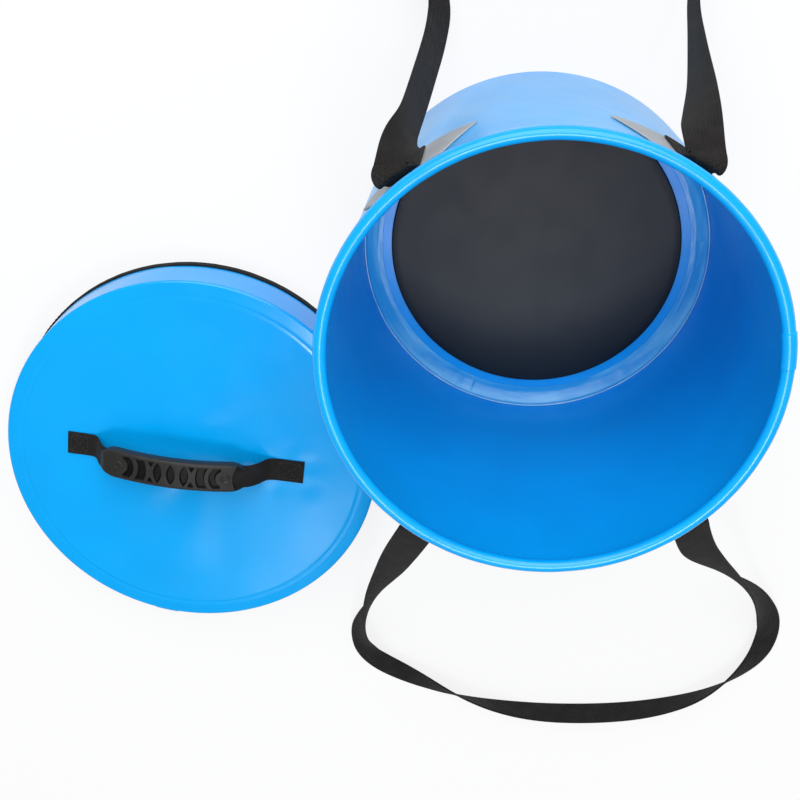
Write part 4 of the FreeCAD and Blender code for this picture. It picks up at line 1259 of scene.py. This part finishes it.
# %% Lid skirt and binding
BINDING_HEIGHT = 8.0 * MM
BINDING_THICKNESS = 1.0 * MM
BINDING_ROUNDS = np.array([0.8, 1.2, 0.6, 0.6]) * MM
BINDING_LUMP = 0.3 * MM
BINDING_LUMPS = (41, (11, 23, 37, 61, 97))
BINDING_RISE = 0.4 * MM
BINDING_WAVES = (43, (9, 17, 29))
BINDING_STITCH_PITCH = 1.3 * STITCH_PITCH
BINDING_STITCH_SHARE = 0.72
SKIRT_TOP = LID_TOP - LID_EDGE - 0.5 * MM
SKIRT_INSET = 0.05 * MM
SKIRT_WAVE = 0.5 * MM
SKIRT_WAVES = (37, (3, 5, 8, 13))
SKIRT_LAP_ANGLE = math.radians(-105)
SKIRT_LAP_HALF = 10.0 * MM / LID_RADIUS
SKIRT_LAP_SOFT = 0.8 * MM / LID_RADIUS
SKIRT_LAP_FADE = 0.5 * MM


def make_lid_skirt():
    """A ring of sheet under the lid's rolled edge, with its ends lapped and a slow wave in its middle."""
    angles, strip = lapped_turn(300, SKIRT_LAP_ANGLE, SKIRT_LAP_HALF, SKIRT_LAP_SOFT)
    height = np.linspace(BINDING_THICKNESS, SKIRT_TOP, 18)
    lap = strip * ease((height - BINDING_HEIGHT) / SKIRT_LAP_FADE)
    wave = ripple(angles, *SKIRT_WAVES) * SKIRT_WAVE * np.sin(np.pi * (1 - height / LID_TOP))
    mesh = sheet_ring("lid_side", LID_RADIUS - SKIRT_INSET + wave, lap, height, angles, LID_CENTRE)
    put(mesh, finish["lid_sheet"], "lid", ["lid_skirt"])


def make_binding():
    """A folded tape round the skirt's edge: a rounded section with lumps, and a row of stitches on it."""
    angles = round_angles(480)
    outer = LID_RADIUS + WELD_GAP + BINDING_THICKNESS
    inner = LID_RADIUS - SHEET - WELD_GAP - BINDING_THICKNESS
    outline = soft_outline([
        (inner, 0),
        (outer, 0),
        (outer, BINDING_HEIGHT),
        (inner, BINDING_HEIGHT),
    ], BINDING_ROUNDS)
    outside = np.clip((outline[:, 0] - inner) / (outer - inner), 0, 1)
    upper = outline[:, 1] / BINDING_HEIGHT
    radius = outline[:, 0] + ripple(angles, *BINDING_LUMPS) * BINDING_LUMP * (outside - 0.5)
    height = outline[:, 1] + ripple(angles, *BINDING_WAVES) * BINDING_RISE * upper
    points = turned(radius, height, angles, LID_CENTRE)
    uv = ring_uv(angles, outer, outline[:, 1])
    mesh = grid_mesh("lid_edge_tape", points, wrap_rows=True, wrap_columns=True, uv=uv)
    put(mesh, finish["black_binding"], "lid", ["lid_binding"])
    count = int(2 * np.pi * outer / BINDING_STITCH_PITCH)
    turn = np.arange(count) * 2 * np.pi / count
    stitch_height = np.full(count, BINDING_HEIGHT * BINDING_STITCH_SHARE)
    swell = ripple(turn, *BINDING_LUMPS) * BINDING_LUMP / 2
    centres = turned(outer + swell, stitch_height, turn, LID_CENTRE)
    out = np.c_[np.cos(turn), np.sin(turn), np.zeros(count)]
    mesh = stitch_mesh("edge_tape_stitches", centres, np.cross(UP, out), out)
    put(mesh, finish["black_thread"], "lid")


make_lid_skirt()
make_binding()

# %% [markdown]
# ## Lid handle
# The handle's webbing is sewn flat on the lid, rises and runs through a moulded grip. At the left it goes in
# under the grip's end, and at the right it comes out over the top.

# %% Handle frame
HANDLE_SIDE = np.cross(UP, HANDLE_AXIS)
HANDLE_WIDTH = 20.0 * MM
GRIP_CENTRE = -10.0 * MM
GRIP_HALF = 59.0 * MM
GRIP_THICKNESS = 9.0 * MM
GRIP_SAGITTA = 10.0 * MM
GRIP_TOP = corners("lid_grip")[1][2]
GRIP_ARC = (GRIP_HALF ** 2 + GRIP_SAGITTA ** 2) / (2 * GRIP_SAGITTA)
GRIP_MIDDLE_ARC = GRIP_ARC - GRIP_THICKNESS / 2


def handle_place(along, side, height):
    """A point of the handle: the lid's centre plus a way along it, a way to its side and a height."""
    along, side, height = (part[..., None] for part in np.broadcast_arrays(along, side, height))
    return np.array([*LID_CENTRE, 0.0]) + along * HANDLE_AXIS + side * HANDLE_SIDE + height * UP


def arch_height(from_middle):
    """Height of the grip's arch, half-way through its thickness: the arc of a circle."""
    return GRIP_TOP - GRIP_ARC + np.sqrt(GRIP_MIDDLE_ARC ** 2 - from_middle ** 2)


print("handle along", HANDLE_AXIS, "grip top at", GRIP_TOP)

# %% Handle webbing
# Each half is a list of places along the handle and heights above the lid, in millimetres
LEFT_HALF = [
    (-102, 0.8), (-93, 0.8), (-86, 0.8), (-80.5, 1.4), (-77, 4.5), (-75, 9), (-72.5, 14), (-69.5, 18.3),
]
RIGHT_HALF = [
    (93.5, 0.8), (84, 0.8), (75, 0.8), (67, 1.4), (63, 4.5), (60.4, 9), (57, 14), (53, 18.0), (48.5, 20.4),
]
LEFT_NODES = ["lid_handle_tab_left", "lid_handle_strap"]
RIGHT_NODES = ["lid_handle_tab_right"]
LEFT_BEND, LEFT_GRIP = -82.0 * MM, -69.0 * MM
RIGHT_BEND, RIGHT_GRIP = 67.5 * MM, 49.0 * MM
LEFT_SEWN = (-100.0 * MM, -86.5 * MM)
RIGHT_SEWN = (73.0 * MM, 91.0 * MM)
HANDLE_SEWN_HALF = 7.2 * MM
WEBBING_INSIDE = 16.0 * MM


def make_handle_half(name, nodes, points, inwards, bend, grip_end):
    """Half of the handle's webbing, from its sewn end to well inside the grip."""
    outside = np.array(points, float) * MM + [0, LID_TOP]
    inside_along = outside[-1, 0] + inwards * np.linspace(0.2, 1, 4) * WEBBING_INSIDE
    inside = np.c_[inside_along, arch_height(inside_along - GRIP_CENTRE)]
    path = np.concatenate([outside, inside])
    line = read_spline(np.c_[path[:, 0], np.zeros(len(path)), path[:, 1]], 8)
    lines = end_rows(handle_place(line[:, 0], 0.0, line[:, 2]), STRAP_THICKNESS / 2)
    across = np.broadcast_to(HANDLE_SIDE, lines.shape)
    mesh = ribbon(name, lines, across, flat_section(HANDLE_WIDTH, STRAP_THICKNESS), True)
    piece = put(mesh, finish["black_webbing"], None, nodes)
    start = handle_place(bend, 0.0, LID_TOP)
    end = handle_place(grip_end, 0.0, LID_TOP)
    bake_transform(piece)


def make_handle_stitches(name, low, high):
    """A sewn box and cross on one flat end of the handle."""
    places, ways = box_and_cross(low, high, HANDLE_SEWN_HALF)
    centres = handle_place(places[:, 0], places[:, 1], LID_TOP + STRAP_THICKNESS)
    along = ways[:, :1] * HANDLE_AXIS + ways[:, 1:] * HANDLE_SIDE
    put(stitch_mesh(name, centres, along, UP), finish["black_thread"], "lid")


make_handle_half("handle_webbing_left", LEFT_NODES, LEFT_HALF, 1, LEFT_BEND, LEFT_GRIP)
make_handle_half("handle_webbing_right", RIGHT_NODES, RIGHT_HALF, -1, RIGHT_BEND, RIGHT_GRIP)
make_handle_stitches("handle_stitches_left", *LEFT_SEWN)
make_handle_stitches("handle_stitches_right", *RIGHT_SEWN)

# %% [markdown]
# ## Moulded grip
# The grip is the piece with the most shape: an arch with rounded edges, narrower ends and a row of windows
# in its top. The windows could be cut with Boolean modifiers, but those leave hard edges. So the grip is
# drawn as one grid, a rounded section carried along the arch. Each window is a distance formula: how far a
# point lies inside its outline. The smooth step of the deepest distance presses the top face down, so the
# edges of the windows come out rounded, as moulded ones are.

# %% Grip material
GRIP_GLOSS = 0.4
STIPPLE_SCALE = 2600.0
STIPPLE_BUMP = 0.06 * MM
WEAR_SCALE = 120.0
WEAR_SHARE = 0.5
WEAR_DULL = 0.12
# Worn places are lighter, and the windows are painted darker: painted shade in their recesses
WORN_SHADE, WINDOW_PAINTED_SHADE = 1.5, 0.1


def make_moulding(name, colour, roughness):
    """Moulded plastic: fine stipple, rubbed places and painted shade in the windows, whose depth is in the
    UV map.
    """
    material, tree, shader = new_material(name, roughness, GRIP_GLOSS)
    place = object_place(tree)
    stipple = noise(tree, place, STIPPLE_SCALE, 1.0)
    rub = use_group(tree, handling, vector=place, scale=WEAR_SCALE, amount=WEAR_SHARE)["Mask"]
    hollow = split(tree, strip_place(tree))[0]
    rubbed = mix_colours(tree, rub, colour, scaled(colour, WORN_SHADE))
    # The windows are painted darker by their depth: painted shade
    feed(tree, shader.inputs["Base Color"], mix_colours(tree, hollow, rubbed, scaled(colour, WINDOW_PAINTED_SHADE)))
    feed(tree, shader.inputs["Roughness"], arithmetic(tree, "MULTIPLY_ADD", rub, WEAR_DULL, roughness))
    bump(tree, shader, stipple, STIPPLE_BUMP)
    return material


finish["grip_plastic"] = make_moulding("grip_plastic", (0.024, 0.023, 0.022), 0.46)
finish["rivet_plastic"] = make_moulding("rivet_plastic", (0.026, 0.0255, 0.025), 0.35)
print("finishes in all:", len(finish))

# %% Grip windows
RIVET_OFFSET = 42.5 * MM
WINDOW_HALF = 9.0 * MM
LENS_HALF = 3.2 * MM
LENS_OFFSET = 10.5 * MM
CRESCENTS = ((7.6 * MM, 12.6 * MM), (16.4 * MM, 22.8 * MM))
NOTCH_OFFSET = 16.2 * MM
NOTCH_SIZE = 4.6 * MM


def lens_depth(along, side, offset):
    """How far inside a pointed oval: two equal discs overlap in it, and its sizes give their radius."""
    disc = (WINDOW_HALF ** 2 + LENS_HALF ** 2) / (2 * LENS_HALF)
    return disc - np.hypot(np.abs(along - offset) + disc - LENS_HALF, side)


def crescent_depth(along, side, end, radii):
    """How far inside an arc between two circles round a rivet, on the side of the grip's middle."""
    away = np.hypot(along - end * RIVET_OFFSET, side)
    ring = np.minimum(away - radii[0], radii[1] - away)
    facing = end * (end * RIVET_OFFSET - along) - radii[0] / 2
    return np.minimum(np.minimum(ring, WINDOW_HALF - np.abs(side)), facing)


def notch_depth(along, side, end):
    """How far inside the small triangles whose points meet in an X."""
    reach = np.abs(side) - (WINDOW_HALF - NOTCH_SIZE)
    return np.minimum(reach / 2 - np.abs(along - end * NOTCH_OFFSET), WINDOW_HALF - np.abs(side))


def window_depth(along, side):
    """The greatest depth inside any window: lenses in the middle, then notches and crescents at each end."""
    depth = lens_depth(along, side, 0.0)
    for end in (-1, 1):
        depth = np.maximum(depth, lens_depth(along, side, end * LENS_OFFSET))
        depth = np.maximum(depth, notch_depth(along, side, end))
        for radii in CRESCENTS:
            depth = np.maximum(depth, crescent_depth(along, side, end, radii))
    return depth


print("a window reaches", WINDOW_HALF, "m to each side")

# %% Grip
GRIP_WIDTH = 25.0 * MM
GRIP_END_WIDTH = 15.0 * MM
GRIP_TAPER = 12.0 * MM
GRIP_THINNING = 5.0 * MM
GRIP_ROUND = 2.4 * MM
GRIP_ROWS, TOP_COLUMNS, UNDER_COLUMNS = 460, 72, 18
WINDOW_SOFT = 0.7 * MM
WINDOW_DEPTH = 3.4 * MM
MOUTH = 9.0 * MM
MOUTH_SOFT = 0.8 * MM
MOUTH_BOW = 2.0 * MM
MOUTH_DEPTH = GRIP_THICKNESS / 2 + 0.2 * MM


def grip_section():
    """Closed outline of the grip as (side, out) points: a fine top, round corners and a plain underside."""
    thick = GRIP_THICKNESS / 2
    flat_half = GRIP_WIDTH / 2 - GRIP_ROUND
    bow = np.linspace(0, np.pi / 2, 7)[1:-1]
    corner = np.c_[flat_half + GRIP_ROUND * np.sin(bow), thick - GRIP_ROUND + GRIP_ROUND * np.cos(bow)]
    top = np.c_[np.linspace(-1, 1, TOP_COLUMNS) * flat_half, np.full(TOP_COLUMNS, thick)]
    bottom = np.c_[np.linspace(1, -1, UNDER_COLUMNS) * flat_half, np.full(UNDER_COLUMNS, -thick)]
    right = np.concatenate([corner, corner[::-1] * [1, -1]])
    return np.concatenate([top, right, bottom, right[::-1] * [-1, 1]])


def make_grip():
    """Section carried along the arch: it narrows and thins at the ends, and windows and mouths press its
    faces in. The top and under faces are the outer sixth of the section's half thickness."""
    section = grip_section()
    along = crowded(GRIP_ROWS, 0.9)[:, None]
    along = along / along.max() * GRIP_HALF
    to_end = GRIP_HALF - np.abs(along)
    narrow = np.sin(np.clip(to_end / GRIP_TAPER, 0, 1) * np.pi / 2)
    width = (GRIP_END_WIDTH + (GRIP_WIDTH - GRIP_END_WIDTH) * narrow) / GRIP_WIDTH
    thin = 0.5 + 0.5 * np.sin(np.clip(to_end / GRIP_THINNING, 0, 1) * np.pi / 2)
    side = section[:, 0] * width
    level = section[:, 1] / (GRIP_THICKNESS / 2)
    face = ease(level * 6 - 5)
    under = ease(-level * 6 - 5)
    hollow = ease(window_depth(along, side) / WINDOW_SOFT + 0.3)
    bow = (1 - (side / WINDOW_HALF) ** 2) * MOUTH_BOW
    over = ease((along - (GRIP_HALF - MOUTH) + bow) / MOUTH_SOFT) * MOUTH_DEPTH
    below = ease((-along - (GRIP_HALF - MOUTH)) / MOUTH_SOFT) * MOUTH_DEPTH
    pressed = face * np.maximum(WINDOW_DEPTH * hollow, over)
    out = section[:, 1] * thin - pressed * thin + under * below * thin
    tilt = np.arcsin(along / GRIP_MIDDLE_ARC)
    places = GRIP_CENTRE + along + out * np.sin(tilt)
    points = handle_place(places, side, arch_height(along) + out * np.cos(tilt))
    # The first pattern place marks the windows, which the grip's material paints dark as painted shade
    uv = np.stack(np.broadcast_arrays(hollow * face, along), axis=-1)
    mesh = grid_mesh("moulded_grip", points, wrap_columns=True, caps=True, uv=uv)
    put(mesh, finish["grip_plastic"], "lid_handle", ["lid_grip"])


make_grip()

# %% Rivets
RIVET_HEAD = 4.2 * MM
RIVET_BORE = 1.9 * MM
RIVET_ROUNDS = np.array([0.3, 0.5, 0.6, 0.3]) * MM


def make_rivet(name, end):
    """A hollow head: a rounded ring section turned about the arch's own normal."""
    angles = round_angles(40)
    outline = soft_outline([
        (RIVET_BORE, -0.8 * MM),
        (RIVET_BORE, 0.6 * MM),
        (RIVET_HEAD - 0.6 * MM, 0.9 * MM),
        (RIVET_HEAD, -0.4 * MM),
    ], RIVET_ROUNDS)
    along = end * RIVET_OFFSET
    tilt = math.asin(along / GRIP_MIDDLE_ARC)
    ring_along = outline[:, 0] * np.cos(angles)
    ring_side = outline[:, 0] * np.sin(angles)
    ring_out = GRIP_THICKNESS / 2 + outline[:, 1]
    places = GRIP_CENTRE + along + ring_along * math.cos(tilt) + ring_out * math.sin(tilt)
    heights = arch_height(along) + ring_out * math.cos(tilt) - ring_along * math.sin(tilt)
    mesh = grid_mesh(name, handle_place(places, ring_side, heights), wrap_rows=True, wrap_columns=True)
    put(mesh, finish["rivet_plastic"], "lid_handle", ["grip_rivets"])


make_rivet("grip_rivet_left", -1)
make_rivet("grip_rivet_right", 1)
